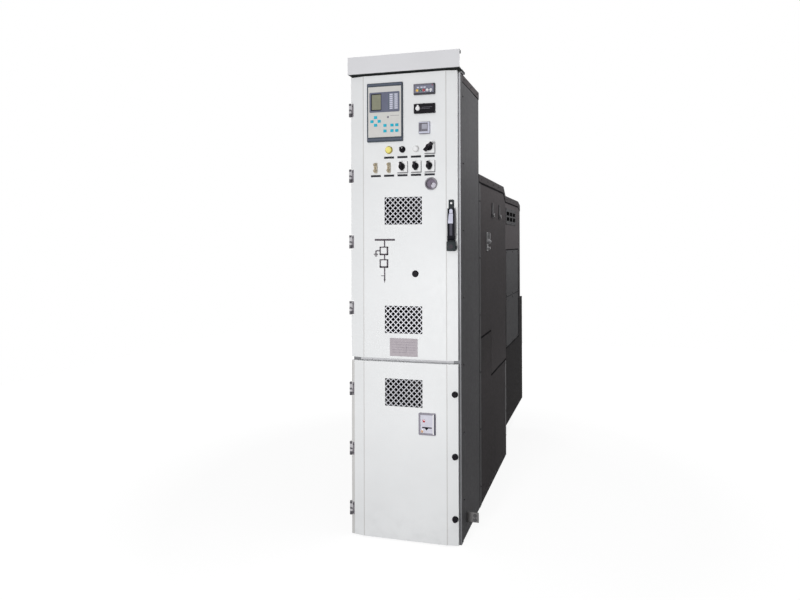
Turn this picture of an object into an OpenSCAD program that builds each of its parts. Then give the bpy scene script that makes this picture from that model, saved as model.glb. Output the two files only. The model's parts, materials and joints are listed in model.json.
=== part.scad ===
// Single-panel gas-insulated switchgear: a stepped sheet-metal cubicle with two hinged front doors.
// X runs to the right as seen from the front, Y runs from front to back, Z is up.
// The origin is on the floor, at the centre of the four floor-bolt holes.

/* [Cubicle] */
// Overall width across the front posts
cab_w = 600; // [540:10:700]
// Height of the front section, roof included
front_h = 2460; // [2300:10:2600]
// Depth of the front section behind its front frame
front_d = 445; // [400:5:520]
// Height of the tank section
tank_h = 1978; // [1940:1:2100]
// Depth of the tank section
tank_d = 908; // [820:2:1000]
// Drop from the tank section's top to the busbar section's top
bus_drop = 60; // [50:1:75]
// Depth of the busbar section
bus_d = 712; // [660:2:760]
// Depth of the lower rear box, measured from the tank section
box_d = 824; // [780:2:900]
// Height of the lower rear box's top ledge
box_top = 1102; // [1060:2:1130]
// Clear height under the lower rear box
box_bottom = 212; // [150:2:230]
// Thickness of the sheet steel
sheet = 2.5; // [2:0.5:3]

/* [Front frame] */
// Leg of the front angle posts
post_leg = 40; // [36:1:44]
// Thickness of the front angles
post_t = 3; // [2.5:0.5:4]
// Height of the base rails
base_h = 60; // [50:2:64]
// Width of a base rail's flange
rail_w = 50; // [44:1:60]
// Radius of a floor-bolt hole
bolt_r = 8; // [6:0.5:9]

/* [Doors] */
// Depth of a door's edge
door_t = 25; // [22:1:30]
// Clearance between a door and the front frame
door_clear = 5; // [5:0.5:7]
// Thickness of the door skin
skin = 2; // [1.5:0.5:2.5]
// Width of the bevelled strip at each side of a door
bevel_w = 65; // [56:1:66]
// Setback of the door's edge behind its middle
bevel_d = 10; // [7:0.5:12]
// Height of the joint between the two doors
split_z = 950; // [930:2:970]
// Gap between the two doors
door_gap = 18; // [14:1:24]
// Width of a vent window
vent_w = 208; // [180:2:220]
// Height of a vent window
vent_h = 145; // [130:1:150]
// Pitch of the diamond lattice, corner to corner
lattice_pitch = 29; // [26:1:32]
// Width of a lattice bar
lattice_bar = 7; // [5:0.5:8]

/* [Hinges and handle] */
// Height of one hinge
hinge_h = 70; // [60:2:80]
// Radius of a hinge knuckle
knuckle_r = 8; // [7:0.5:9]
// Radius of a hinge pin
pin_r = 3; // [2.5:0.5:3.5]
// Running clearance around a pin
pin_clear = 0.1; // [0.05:0.01:0.1]
// Width of the handle lever
lever_w = 36; // [34:1:40]
// Reach of the lever out from the door strip
lever_out = 32; // [30:1:36]

/* [Controls] */
// Width of the protection relay
relay_w = 200; // [190:1:210]
// Height of the protection relay
relay_h = 312; // [300:1:326]
// Spacing of the control columns
col_pitch = 75; // [72:1:77]
// Side of a rotary switch plate
switch_plate = 56; // [54:1:62]
// Outer radius of the gas gauge
gauge_r = 33; // [30:1:36]

/* [Cornice] */
// Height of the cornice above the roof
cornice_h = 92; // [80:1:110]
// Reach of the cornice ahead of the front frame
cornice_out = 53; // [45:1:70]
// Overhang of the cornice at each side
cornice_side = 10; // [0:1:10]

/* [Hidden] */
$fn = 48;

// Planes of the stepped body, measured back from the front frame
side_inset = 3;
half_w = cab_w / 2;
wall_out = half_w - side_inset;
wall_in = wall_out - sheet;
tank_back = front_d + tank_d;
bus_back = tank_back + bus_d;
box_back = tank_back + box_d;
roof_z = front_h - sheet;
bus_h = tank_h - bus_drop;

// Lids: depth of the lip, and run and fall of the sloped rear edge
roof_lip = 38;
tank_lip = 43;
tank_run = 83;
tank_fall = 60;
bus_lip = 43;
bus_run = 100;
bus_fall = 28;

// Stepped joint between the upper and lower tank panels
step_front_z = 0.505 * tank_h;
step_rear_z = 0.358 * tank_h;
step_y = front_d + 0.39 * tank_d;
seam = 6;
joint_t = 2;
joint_lap = 14;

// Floor bolts, whose centre is the origin
bolt_front = 100;
bolt_rear_margin = 73;
bolt_back = tank_back - bolt_rear_margin;
plan_mid = (bolt_front + bolt_back) / 2;
bolt_x = wall_in - rail_w / 2;
web_t = 4;
foot_t = 5;

// Cornice: lift of its front above the roof, depth of its flange on the roof and of its folded top edge
cornice_lift = 11.5;
cornice_foot = 60;
cornice_fold = 28;

// Louvre plate high on the busbar section, with three columns and two rows of slots
louvre_margin = 15;
louvre_w = 454;
louvre_h = 120;
louvre_t = 4;
louvre_z = bus_h - louvre_h - 88;
louvre_edge = 25;
louvre_rim = 25;
slot_w = 115;
slot_h = 29;
slot_pitch_y = (louvre_w - 2 * louvre_edge - slot_w) / 2;
slot_pitch_z = louvre_h - 2 * louvre_rim - slot_h;

// Flat covers on the sides: thickness and margins
cover_t = 2;
cover_gap = 4;
cover_foot = 150;
front_cover_rear = 141;
joint_strip = 42;
bus_cover_front = 13;
bus_cover_rear = 120;
bus_cover_low = box_top + 63;
bus_cover_high = louvre_z - 198;
box_cover_low = box_top - 312;

// Lifting studs and the gas valve on the tank section's sides
stud_y = [front_d + 0.45 * tank_d, front_d + 0.72 * tank_d];
stud_z = tank_h - 227;
stud_plate_t = 6;
stud_plate_w = 56;
stud_plate_top = 28;
stud_plate_h = 97;
stud_r = 12;
valve_y = front_d + 0.259 * tank_d;
valve_z = tank_h - 401;
valve_plate_w = 36;
valve_plate_h = 116;
valve_plate_t = 5;
valve_r = 16;

// Earth bar across the front compartment, reaching out on the right
earth_y = 121;
earth_t = 8;
earth_z = base_h + 7;
earth_h = 51;
earth_reach = 62;
earth_start = 40;
earth_hole_r = 5.5;
earth_hole_inset = 20;
earth_hole_z = [14, 37];
earth_cut = 5;
bracket_w = 40;
bracket_t = 6;

// Doors: the front plane, the edge planes and the height of each door
door_side_gap = 5;
strike_gap = 11;
door_end_gap = 6;
door_rise = 4;
door_w = cab_w - 2 * door_side_gap;
door_right = half_w - strike_gap;
door_back = -door_clear;
door_front = door_back - door_t;
door_return = 12;
upper_top = front_h + door_rise;
upper_bottom = split_z + door_gap / 2;
lower_top = split_z - door_gap / 2;
lower_bottom = door_end_gap;
strip_angle = atan(bevel_d / bevel_w);
strip_x = door_right - bevel_w / 2;
strip_y = door_front + bevel_d * (strip_x - door_w / 2 + bevel_w) / bevel_w;

// Hinge line at the left edge, four hinges on the upper door and three on the lower door
hinge_x = -half_w - 10;
hinge_y = -17;
arm_t = 5;
hinge_gap = 0.5;
edge_bar = 11;
edge_clear = 6;
upper_first = 176;
upper_last = 262;
lower_first = 155;
lower_last = 138;
upper_pitch = (upper_top - upper_bottom - upper_first - upper_last) / 3;
lower_pitch = (lower_top - lower_bottom - lower_first - lower_last) / 2;
upper_hinges = [for (i = [0:3]) upper_top - upper_first - i * upper_pitch];
lower_hinges = [for (i = [0:2]) lower_top - lower_first - i * lower_pitch];

// Controls on the upper door, placed down from the top of the front section
relay_x = -104;
relay_z = front_h - relay_h / 2 - 41;
relay_out = 12;
relay_rear = 110;
face_w = relay_w - 14;
face_h = relay_h - 44;
face_z = relay_z + 2.5;
face_t = 4;
screen_w = 169;
screen_h = 106;
screen_z = relay_z + 53.5;
column_mid = -8.5;
column_x = [for (i = [0:4]) column_mid + (i - 2) * col_pitch];
row_1_z = front_h - 392;
button_z = row_1_z - 5;
row_2_z = front_h - 488;
label_w = 56;
label_h = 11;
label_t = 1.5;
label_drop = 45;
gauge_z = front_h - 582;
gauge_x = column_x[4] + 8;
gauge_barrel = gauge_r - 4;
button_r = 11;
button_depth = 45;
switch_r = 13;
cut_clear = 0.3;

// Relay keys: the cross and the key block, measured from the relay's centre
key_w = 18;
key_h = 15;
key_t = 2.5;
pad_x = -50.5;
pad_z = -47;
pad_reach = 20.5;
key_columns = [2.5, 42, 69];
key_rows = [-70.5, -100];

// Instruments: centre x, centre z, width, height, depth ahead of the door, depth behind it
indicator = [115.5, front_h - 87.5, 116, 56, 12, 60];
control = [116, front_h - 188.5, 115, 50, 12, 60];
humidity = [115, front_h - 290, 58, 62, 14, 50];
rear_margin = 5;

// Rotary switches: plate, shaft and contact block
switch_plate_t = 8;
stem_r = 4;
knob_gap = 1;
knob_t = 8;
contact_w = 44;
contact_d = 50;

// Vents on one centre line; the upper one and the plug share the field under the gauge
vent_x = -6;
vent_rim = 6;
grille_t = 2;
middle_vent_z = split_z + 215;
lower_vent_z = lower_top - 161;
field_low = middle_vent_z + vent_h / 2;
field_high = gauge_z - gauge_r;
upper_vent_z = field_low + 0.827 * (field_high - field_low);
plug_x = 61;
plug_z = field_low + 0.281 * (field_high - field_low);
plug_r = 14;

// Plates low on the upper door and on the lower door
rating_x = -5;
rating_z = split_z + 70;
rating_w = 154;
rating_h = 95;
earthing_x = 124;
earthing_z = lower_top - 315;
earthing_w = 92;
earthing_h = 115;
earthing_t = 8;

// Handle: heights along the right strip
handle_top = front_h - 667;
handle_h = 266;
handle_bottom = handle_top - handle_h;
block_h = 50;
block_w = 46;
block_out = 26;
plate_t = 5;
plate_w = 28;
pivot_z = handle_top - 58;
pivot_out = 14;
pivot_r = 9;
lever_top = pivot_z + 12;
lever_bottom = handle_bottom + block_h + 6;
lever_knee = pivot_z - 56;
cheek = 5;

// Places everything so that the origin is the centre of the floor bolts
module placed() {
    translate([0, -plan_mid, 0]) children();
}

// Repeats a right-hand piece on the left
module both_sides() {
    children();
    mirror([1, 0, 0]) children();
}

// A box from its lower to its upper limits
module block(x0, x1, y0, y1, z0, z1) {
    translate([x0, y0, z0]) cube([x1 - x0, y1 - y0, z1 - z0]);
}

// Pushes a shape drawn in X and Z from the plane y0 back to y1
module in_front(y0, y1) {
    translate([0, y1, 0]) rotate([90, 0, 0]) linear_extrude(y1 - y0) children();
}

// Pushes an outline given in Y and Z from the plane x0 to x1
module across(x0, x1, points) {
    translate([x0, 0, 0]) rotate([90, 0, 90]) linear_extrude(x1 - x0) polygon(points);
}

// A cylinder along Y
module barrel(x, z, r, y0, y1) {
    translate([x, y1, z]) rotate([90, 0, 0]) cylinder(r = r, h = y1 - y0);
}

// A turned piece on the door front, its outline given as radius and reach ahead of the door
module turned(x, z, outline) {
    translate([x, door_front, z]) rotate([90, 0, 0]) rotate_extrude() polygon(outline);
}

// A turned piece standing out of the right side, its outline given as radius and reach
module turned_side(x, y, z, outline) {
    translate([x, y, z]) rotate([0, 90, 0]) rotate_extrude() polygon(outline);
}

// A rectangle with round corners, about its own centre
module round_rect(w, h, r) {
    square([w - 2 * r, h], center = true);
    square([w, h - 2 * r], center = true);
    for (sx = [-1, 1], sz = [-1, 1]) {
        translate([sx * (w / 2 - r), sz * (h / 2 - r)]) circle(r);
    }
}

// The right-hand door strip: local X along the strip, local -Y straight out of it
module on_strip() {
    translate([strip_x, strip_y, 0]) rotate([0, 0, strip_angle]) children();
}

// Base and front frame

module base_rails() color("dimgray") placed() both_sides() difference() {
    union() {
        block(wall_in - web_t, wall_in, post_t, tank_back - sheet, 0, base_h);
        block(wall_in - rail_w, wall_in - web_t, post_t, tank_back - sheet, 0, foot_t);
        block(wall_in - rail_w, wall_in - web_t, post_t, tank_back - sheet, base_h - web_t, base_h);
    }
    for (y = [bolt_front, bolt_back]) translate([bolt_x, y, -1]) cylinder(r = bolt_r, h = base_h + 2);
}

module base_crossbars() color("dimgray") placed() {
    inner = wall_in - rail_w;
    for (y = [post_t, front_d - sheet - web_t, tank_back - sheet - web_t]) {
        block(-inner, inner, y, y + web_t, 0, base_h);
    }
}

module front_posts() color("gainsboro") placed() both_sides() {
    block(half_w - post_leg, half_w, 0, post_t, 0, roof_z);
    block(half_w - post_t, half_w, post_t, post_leg, 0, roof_z);
}

module front_rails() color("gainsboro") placed() {
    inner = half_w - post_leg;
    for (z = [roof_z, split_z + post_leg / 2]) {
        block(-inner, inner, 0, post_t, z - post_leg, z);
        block(-inner, inner, post_t, post_leg, z - post_t, z);
    }
    block(-inner, inner, 0, post_t, 0, base_h);
}

module front_sides() color([0.27, 0.27, 0.28]) placed() both_sides() difference() {
    block(wall_in, wall_out, post_leg / 2, front_d, 0, roof_z);
    block(
        wall_in - 1, wall_out + 1, earth_y - earth_cut, earth_y + earth_t + earth_cut,
        earth_z - earth_cut, earth_z + earth_h + earth_cut
    );
}

module front_roof() color([0.27, 0.27, 0.28]) placed() {
    block(-half_w, half_w, 0, front_d, roof_z, front_h);
    both_sides() block(wall_out, half_w, post_leg + 1, front_d, front_h - roof_lip, roof_z);
}

module bulkhead() color("silver") placed() {
    block(-wall_in, wall_in, front_d - sheet, front_d - 0.5, base_h, roof_z);
}

module mid_shelf() color("silver") placed() {
    z = split_z + post_leg / 2;
    block(-wall_in, wall_in, post_t, front_d - sheet, z, z + sheet);
}

module cornice() color("lightgray") placed() {
    x = half_w + cornice_side;
    low = front_h + cornice_lift;
    top = low + cornice_h;
    across(-x, x, [
        [-cornice_out, low], [0, low], [0, front_h], [cornice_foot, front_h],
        [cornice_foot, front_h + sheet], [sheet, front_h + sheet], [sheet, low + sheet],
        [sheet - cornice_out, low + sheet], [sheet - cornice_out, top - sheet],
        [cornice_fold - cornice_out, top - sheet], [cornice_fold - cornice_out, top], [-cornice_out, top]
    ]);
}

// Tank section

// Outline of a lid from y0 to y1 with a sloped rear edge, its top lowered by cut
function lid_outline(y0, y1, top, lip, run, fall, cut) = [
    [y0, top - lip], [y0, top - cut], [y1 - run, top - cut], [y1, top - fall - cut],
    [y1, top - fall - lip], [y1 - run, top - lip]
];

module lid(y0, y1, top, lip, run, fall) difference() {
    across(-half_w, half_w, lid_outline(y0, y1, top, lip, run, fall, 0));
    across(-wall_out, wall_out, lid_outline(y0 - 1, y1, top, lip + 1, run, fall, sheet));
    across(-wall_out, wall_out, [
        [y1 - 1, top - fall - lip - 1], [y1 - 1, top - fall - sheet],
        [y1 + 1, top - fall - sheet], [y1 + 1, top - fall - lip - 1]
    ]);
}

module tank_upper_panels() color([0.25, 0.25, 0.26]) placed() both_sides() {
    across(wall_in, wall_out, [
        [front_d, step_front_z + seam], [step_y + seam, step_front_z + seam],
        [step_y + seam, step_rear_z + seam], [tank_back, step_rear_z + seam],
        [tank_back, tank_h - tank_fall - sheet], [tank_back - tank_run, tank_h - sheet],
        [front_d, tank_h - sheet]
    ]);
}

module tank_lower_panels() color([0.25, 0.25, 0.26]) placed() both_sides() {
    across(wall_in, wall_out, [
        [front_d, 0], [tank_back, 0], [tank_back, step_rear_z],
        [step_y, step_rear_z], [step_y, step_front_z], [front_d, step_front_z]
    ]);
    across(wall_in - joint_t, wall_in, [
        [front_d + sheet, step_front_z - joint_lap], [step_y - joint_lap, step_front_z - joint_lap],
        [step_y - joint_lap, step_rear_z - joint_lap], [tank_back - sheet, step_rear_z - joint_lap],
        [tank_back - sheet, step_rear_z + seam + joint_lap],
        [step_y + seam + joint_lap, step_rear_z + seam + joint_lap],
        [step_y + seam + joint_lap, step_front_z + seam + joint_lap],
        [front_d + sheet, step_front_z + seam + joint_lap]
    ]);
}

module tank_lid() color([0.30, 0.30, 0.31]) placed() {
    lid(front_d, tank_back, tank_h, tank_lip, tank_run, tank_fall);
}

module tank_rear_wall() color("dimgray") placed() {
    block(-wall_in, wall_in, tank_back - sheet, tank_back, 0, tank_h - tank_fall - sheet);
}

// Busbar section and lower rear box

module bus_sides() color([0.25, 0.25, 0.26]) placed() both_sides() difference() {
    across(wall_in, wall_out, [
        [tank_back, box_top], [bus_back, box_top], [bus_back, bus_h - bus_fall - sheet],
        [bus_back - bus_run, bus_h - sheet], [tank_back, bus_h - sheet]
    ]);
    y = tank_back + louvre_margin;
    block(
        wall_in - 1, wall_out + 1, y + louvre_edge, y + louvre_w - louvre_edge,
        louvre_z + louvre_rim, louvre_z + louvre_h - louvre_rim
    );
}

module bus_lid() color([0.30, 0.30, 0.31]) placed() {
    lid(tank_back, bus_back, bus_h, bus_lip, bus_run, bus_fall);
}

module bus_rear_cover() color("dimgray") placed() {
    block(-wall_in, wall_in, bus_back - sheet, bus_back, box_top, bus_h - bus_fall - sheet);
}

module rear_box_sides() color([0.25, 0.25, 0.26]) placed() both_sides() {
    block(wall_in, wall_out, tank_back, box_back, box_bottom, box_top);
}

module rear_box_wrap() color("dimgray") placed() {
    block(-wall_in, wall_in, bus_back - sheet, box_back, box_top - sheet, box_top);
    block(-wall_in, wall_in, box_back - sheet, box_back, box_bottom, box_top);
    block(-wall_in, wall_in, tank_back, box_back, box_bottom, box_bottom + sheet);
}

module bus_louvres() color([0.22, 0.22, 0.23]) placed() both_sides() difference() {
    y0 = tank_back + louvre_margin;
    block(wall_out, wall_out + louvre_t, y0, y0 + louvre_w, louvre_z, louvre_z + louvre_h);
    for (i = [0:2], j = [0, 1]) {
        y = y0 + louvre_edge + i * slot_pitch_y;
        z = louvre_z + louvre_rim + j * slot_pitch_z;
        block(wall_out - 1, wall_out + louvre_t + 1, y, y + slot_w, z, z + slot_h);
    }
}

module side_covers() color([0.28, 0.28, 0.29]) placed() both_sides() {
    x0 = wall_out;
    x1 = wall_out + cover_t;
    bus_front = tank_back + bus_cover_front;
    bus_rear = bus_back - bus_cover_rear;
    front_high = front_h - roof_lip - cover_gap;
    block(x0, x1, post_leg + cover_gap, front_d - front_cover_rear, cover_foot, front_high);
    block(x0, x1, front_d, front_d + joint_strip, 0, tank_h - tank_lip - cover_gap);
    block(x0, x1, bus_front, bus_rear, bus_cover_low, bus_cover_high);
    block(x0, x1, bus_front, bus_rear, box_cover_low, bus_cover_low - cover_gap);
}

module lifting_lugs() color("gray") placed() both_sides() for (y = stud_y) {
    low = stud_z - stud_plate_w / 4;
    across(wall_out, wall_out + stud_plate_t, [
        [y - stud_plate_w / 2, low], [y + stud_plate_w / 2, low],
        [y + stud_plate_top / 2, low + stud_plate_h], [y - stud_plate_top / 2, low + stud_plate_h]
    ]);
    turned_side(wall_out + stud_plate_t, y, stud_z, [
        [0, 0], [stud_r, 0], [stud_r, 0.5 * stud_r], [0.8 * stud_r, 0.8 * stud_r],
        [0.5 * stud_r, 0.8 * stud_r], [0.4 * stud_r, 0.6 * stud_r], [0, 0.6 * stud_r]
    ]);
}

module gas_valve() color("silver") placed() {
    x = wall_out + valve_plate_t;
    half = valve_plate_h / 2;
    side = valve_plate_w / 2;
    block(wall_out, x, valve_y - side, valve_y + side, valve_z - half, valve_z + half);
    turned_side(x, valve_y, valve_z, [
        [0, 0], [valve_r, 0], [valve_r, 0.5 * valve_r], [0.85 * valve_r, valve_r],
        [0.5 * valve_r, 1.35 * valve_r], [0, 1.5 * valve_r]
    ]);
    block(x, x + valve_r, valve_y - 5, valve_y + 5, valve_z + valve_r, valve_z + half - 4);
    translate([x, valve_y, valve_z - 0.7 * half]) rotate([0, 90, 0]) cylinder(r = 0.5 * valve_r, h = valve_r);
}

module earth_bar() color("silver") placed() {
    difference() {
        block(
            earth_start - wall_in, half_w + earth_reach, earth_y, earth_y + earth_t,
            earth_z, earth_z + earth_h
        );
        for (z = earth_hole_z) {
            x = half_w + earth_reach - earth_hole_inset;
            barrel(x, earth_z + z, earth_hole_r, earth_y - 1, earth_y + earth_t + 1);
        }
    }
    rear = earth_y + earth_t;
    inset = bracket_w / 2;
    for (x = [inset - wall_in, wall_in - inset - bracket_w]) {
        block(x, x + bracket_w, rear, rear + bracket_w, base_h, base_h + bracket_t);
        block(x, x + bracket_w, rear, rear + bracket_t, base_h + bracket_t, earth_z + earth_h);
    }
}

// Hinges

module hinge_bases() color("darkslategray") placed() for (z = concat(upper_hinges, lower_hinges)) {
    low = z - hinge_h / 2;
    union() {
        block(-half_w - arm_t - 1, -half_w, 4, post_leg - 4, low, z - hinge_gap);
        block(-half_w - arm_t - 1, -half_w - 1, hinge_y, 4, low, z - hinge_gap);
        translate([hinge_x, hinge_y, low]) cylinder(r = knuckle_r, h = hinge_h / 2 - hinge_gap);
        translate([hinge_x, hinge_y, low]) cylinder(r = pin_r, h = hinge_h - 2);
    }
}

module hinge_leaf(z) difference() {
    union() {
        block(-half_w, -door_w / 2, door_front + bevel_d + 1, door_back - 1, z, z + hinge_h / 2);
        block(hinge_x, -half_w + 1, hinge_y - 5, hinge_y + 5, z, z + hinge_h / 2);
        translate([hinge_x, hinge_y, z]) cylinder(r = knuckle_r, h = hinge_h / 2);
    }
    translate([hinge_x, hinge_y, z - 1]) cylinder(r = pin_r + pin_clear, h = hinge_h / 2 + 2);
}

module upper_hinge_leaves() color("darkslategray") placed() for (z = upper_hinges) hinge_leaf(z);

module lower_hinge_leaves() color("darkslategray") placed() for (z = lower_hinges) hinge_leaf(z);

// Doors

// A sheet-metal door pan from z0 to z1, open at the back
module door_pan(z0, z1) {
    x = door_w / 2;
    edge = door_front + bevel_d;
    slope = bevel_d * skin / bevel_w;
    right_edge = edge - bevel_d * (x - door_right) / bevel_w;
    difference() {
        translate([0, 0, z0]) linear_extrude(z1 - z0) polygon([
            [-x, door_back], [-x, edge], [bevel_w - x, door_front],
            [x - bevel_w, door_front], [door_right, right_edge], [door_right, door_back]
        ]);
        translate([0, 0, z0 + skin]) linear_extrude(z1 - z0 - 2 * skin) polygon([
            [skin - x, door_back + 1], [skin - x, edge + skin - slope], [bevel_w - x, door_front + skin],
            [x - bevel_w, door_front + skin],
            [door_right - skin, right_edge + skin - slope], [door_right - skin, door_back + 1]
        ]);
    }
    rim = door_return + skin;
    block(skin - x, rim - x, door_back - skin, door_back, z0 + skin, z1 - skin);
    block(door_right - rim, door_right - skin, door_back - skin, door_back, z0 + skin, z1 - skin);
    for (z = [z0 + skin, z1 - rim]) {
        block(rim - x, door_right - rim, door_back - skin, door_back, z, z + door_return);
    }
}

// Bars that carry the hinge-side edge on past the pan, between the hinges, which run from the top down
module hinge_edge(z0, z1, hinges) {
    x = door_w / 2;
    edge = door_front + bevel_d;
    slope = bevel_d / bevel_w;
    clear = hinge_h / 2 + edge_clear;
    lows = concat([for (z = hinges) z + clear], [z0]);
    highs = concat([z1], [for (z = hinges) z - clear]);
    for (i = [0:len(hinges)]) translate([0, 0, lows[i]]) linear_extrude(highs[i] - lows[i]) polygon([
        [-x - edge_bar, door_back], [-x - edge_bar, edge + edge_bar * slope], [-x, edge],
        [skin / 2 - x, edge], [skin / 2 - x, door_back]
    ]);
}

// A cut through the door skin for an instrument's rear body
module instrument_cut(i) {
    w = i[2] - 2 * rear_margin + 1;
    h = i[3] - 2 * rear_margin + 1;
    block(i[0] - w / 2, i[0] + w / 2, door_front - 1, door_front + skin + 1, i[1] - h / 2, i[1] + h / 2);
}

module vent_cut(z) {
    block(
        vent_x - vent_w / 2, vent_x + vent_w / 2, door_front - 1, door_front + skin + 1,
        z - vent_h / 2, z + vent_h / 2
    );
}

// A round cut through the door skin
module round_cut(x, z, r) barrel(x, z, r + cut_clear, door_front - 1, door_front + skin + 1);

module upper_door() color("whitesmoke") placed() difference() {
    union() {
        door_pan(upper_bottom, upper_top);
        hinge_edge(upper_bottom, upper_top, upper_hinges);
    }
    vent_cut(upper_vent_z);
    vent_cut(middle_vent_z);
    for (i = [indicator, control, humidity]) instrument_cut(i);
    block(
        relay_x - face_w / 2 - 0.5, relay_x + face_w / 2 + 0.5, door_front - 1, door_front + skin + 1,
        face_z - face_h / 2 - 0.5, face_z + face_h / 2 + 0.5
    );
    for (i = [1, 2, 3]) round_cut(column_x[i], button_z, button_r);
    for (i = [2, 3, 4]) round_cut(column_x[i], row_2_z, switch_r);
    round_cut(column_x[4], row_1_z, switch_r);
    round_cut(gauge_x, gauge_z, gauge_barrel);
    round_cut(plug_x, plug_z, plug_r);
}

module lower_door() color("whitesmoke") placed() difference() {
    union() {
        door_pan(lower_bottom, lower_top);
        hinge_edge(lower_bottom, lower_top, lower_hinges);
    }
    vent_cut(lower_vent_z);
}

// A diamond lattice behind a vent window
module grille(z) {
    step = lattice_pitch / 2;
    hole = lattice_pitch / sqrt(2) - lattice_bar;
    rows = ceil(vent_h / lattice_pitch) + 1;
    cols = ceil(vent_w / lattice_pitch) + 1;
    translate([vent_x, 0, z]) in_front(door_front + skin, door_front + skin + grille_t) difference() {
        square([vent_w + 2 * vent_rim, vent_h + 2 * vent_rim], center = true);
        intersection() {
            square([vent_w, vent_h], center = true);
            for (i = [-cols:cols], j = [-rows:rows]) if ((i + j) % 2 == 0) {
                translate([i * step, j * step]) rotate(45) square(hole, center = true);
            }
        }
    }
}

module upper_grilles() color("gainsboro") placed() {
    grille(upper_vent_z);
    grille(middle_vent_z);
}

module lower_grille() color("gainsboro") placed() grille(lower_vent_z);

// Protection relay

module relay_case() color("slategray") placed() difference() {
    union() {
        translate([relay_x, 0, relay_z]) {
            in_front(door_front - relay_out, door_front) round_rect(relay_w, relay_h, 4);
        }
        block(
            relay_x - face_w / 2, relay_x + face_w / 2, door_front, relay_rear,
            face_z - face_h / 2, face_z + face_h / 2
        );
    }
    block(
        relay_x - face_w / 2, relay_x + face_w / 2,
        door_front - relay_out - 1, door_front - relay_out + face_t,
        face_z - face_h / 2, face_z + face_h / 2
    );
}

module relay_face() color("linen") placed() {
    g = 0.2;
    block(
        relay_x - face_w / 2 + g, relay_x + face_w / 2 - g,
        door_front - relay_out, door_front - relay_out + face_t,
        face_z - face_h / 2 + g, face_z + face_h / 2 - g
    );
}

module relay_screen() color([0.37, 0.38, 0.45]) placed() {
    translate([relay_x, 0, screen_z]) {
        in_front(door_front - relay_out - 3, door_front - relay_out) round_rect(screen_w, screen_h, 5);
    }
}

module relay_keys() color([0.16, 0.7, 0.8]) placed() {
    cross_keys = [for (a = [0:90:270]) [pad_x + pad_reach * cos(a), pad_z + pad_reach * sin(a)]];
    function_keys = [for (x = key_columns, z = key_rows) [x, z]];
    for (k = concat(cross_keys, function_keys)) translate([relay_x + k[0], 0, relay_z + k[1]]) {
        in_front(door_front - relay_out - key_t, door_front - relay_out) round_rect(key_w, key_h, 3);
    }
}

// Instruments beside the relay

module instrument(i, corner) {
    translate([i[0], 0, i[1]]) {
        in_front(door_front - i[4], door_front) round_rect(i[2], i[3], corner);
        in_front(door_front, door_front + i[5]) {
            square([i[2] - 2 * rear_margin, i[3] - 2 * rear_margin], center = true);
        }
    }
}

module voltage_indicator() color([0.2, 0.2, 0.23]) placed() difference() {
    instrument(indicator, 3);
    translate([indicator[0], 0, indicator[1] + 2]) {
        in_front(door_front - indicator[4] - 1, door_front - indicator[4] + 2) {
            square([indicator[2] - 12, indicator[3] - 14], center = true);
        }
    }
}

module control_unit() color([0.08, 0.08, 0.09]) placed() {
    instrument(control, 3);
    barrel(control[0] - 35, control[1], 11, door_front - control[4] - 8, door_front - control[4]);
}

module humidity_controller() color([0.45, 0.46, 0.5]) placed() difference() {
    instrument(humidity, 4);
    translate([humidity[0], 0, humidity[1] + 2]) {
        in_front(door_front - humidity[4] - 1, door_front - humidity[4] + 3) {
            square([humidity[2] - 18, humidity[3] - 22], center = true);
        }
    }
}

// A round control: barrel through the door, chamfered collar and chamfered head
module round_control(x, collar_r, collar_t, head_r, head_t) turned(x, button_z, [
    [0, -button_depth], [button_r, -button_depth], [button_r, 0], [collar_r, 0],
    [collar_r, collar_t - 1], [collar_r - 1, collar_t], [head_r, collar_t],
    [head_r, collar_t + head_t - 3], [head_r - 3, collar_t + head_t], [0, collar_t + head_t]
]);

module yellow_button() color("khaki") placed() round_control(column_x[1], 20, 6, 17, 9);

module black_knob() color([0.08, 0.08, 0.09]) placed() {
    round_control(column_x[2], 17, 5, 13, 10);
    translate([column_x[2], 0, button_z]) {
        in_front(door_front - 25, door_front - 15) rotate(45) round_rect(9, 24, 2);
    }
}

module white_button() color("white") placed() round_control(column_x[3], 17, 6, 14, 7);

// Rotary switches

module switch_plate_at(x, z) difference() {
    union() {
        translate([x, 0, z]) {
            in_front(door_front - switch_plate_t, door_front) round_rect(switch_plate, switch_plate + 2, 3);
            in_front(door_front + knob_t, door_front + knob_t + contact_d) square(contact_w, center = true);
        }
        barrel(x, z, switch_r, door_front, door_front + knob_t);
    }
    barrel(x, z, stem_r + pin_clear, door_front - switch_plate_t - 1, door_front + 6);
}

module switch_plates() color("white") placed() {
    switch_plate_at(column_x[4], row_1_z);
    for (i = [2, 3, 4]) switch_plate_at(column_x[i], row_2_z);
}

// A turning knob with its grip bar at an angle from upright
module switch_knob(x, z, disc_r, grip_w, grip_l, grip_t, angle) {
    face = door_front - switch_plate_t - knob_gap;
    barrel(x, z, stem_r, face, door_front + 5);
    barrel(x, z, disc_r, face - knob_t, face);
    translate([x, 0, z]) in_front(face - knob_t - grip_t, face - knob_t) rotate(angle) {
        round_rect(grip_w, grip_l, 4);
    }
}

module control_switch_handle() color([0.08, 0.08, 0.09]) placed() {
    switch_knob(column_x[4], row_1_z, 18, 15, 58, 20, -45);
}

module selector_handle(i) color([0.08, 0.08, 0.09]) placed() {
    switch_knob(column_x[i], row_2_z, 17, 12, 46, 14, 11);
}

module left_selector_handle() selector_handle(2);

module middle_selector_handle() selector_handle(3);

module right_selector_handle() selector_handle(4);

// Small pieces on the upper door

module test_links() color("tan") placed() for (i = [0, 1]) {
    translate([column_x[i], 0, row_2_z - 3]) in_front(door_front - 8, door_front) round_rect(18, 54, 4);
    for (dz = [-19, 13]) barrel(column_x[i], row_2_z + dz, 7, door_front - 22, door_front - 8);
}

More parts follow.
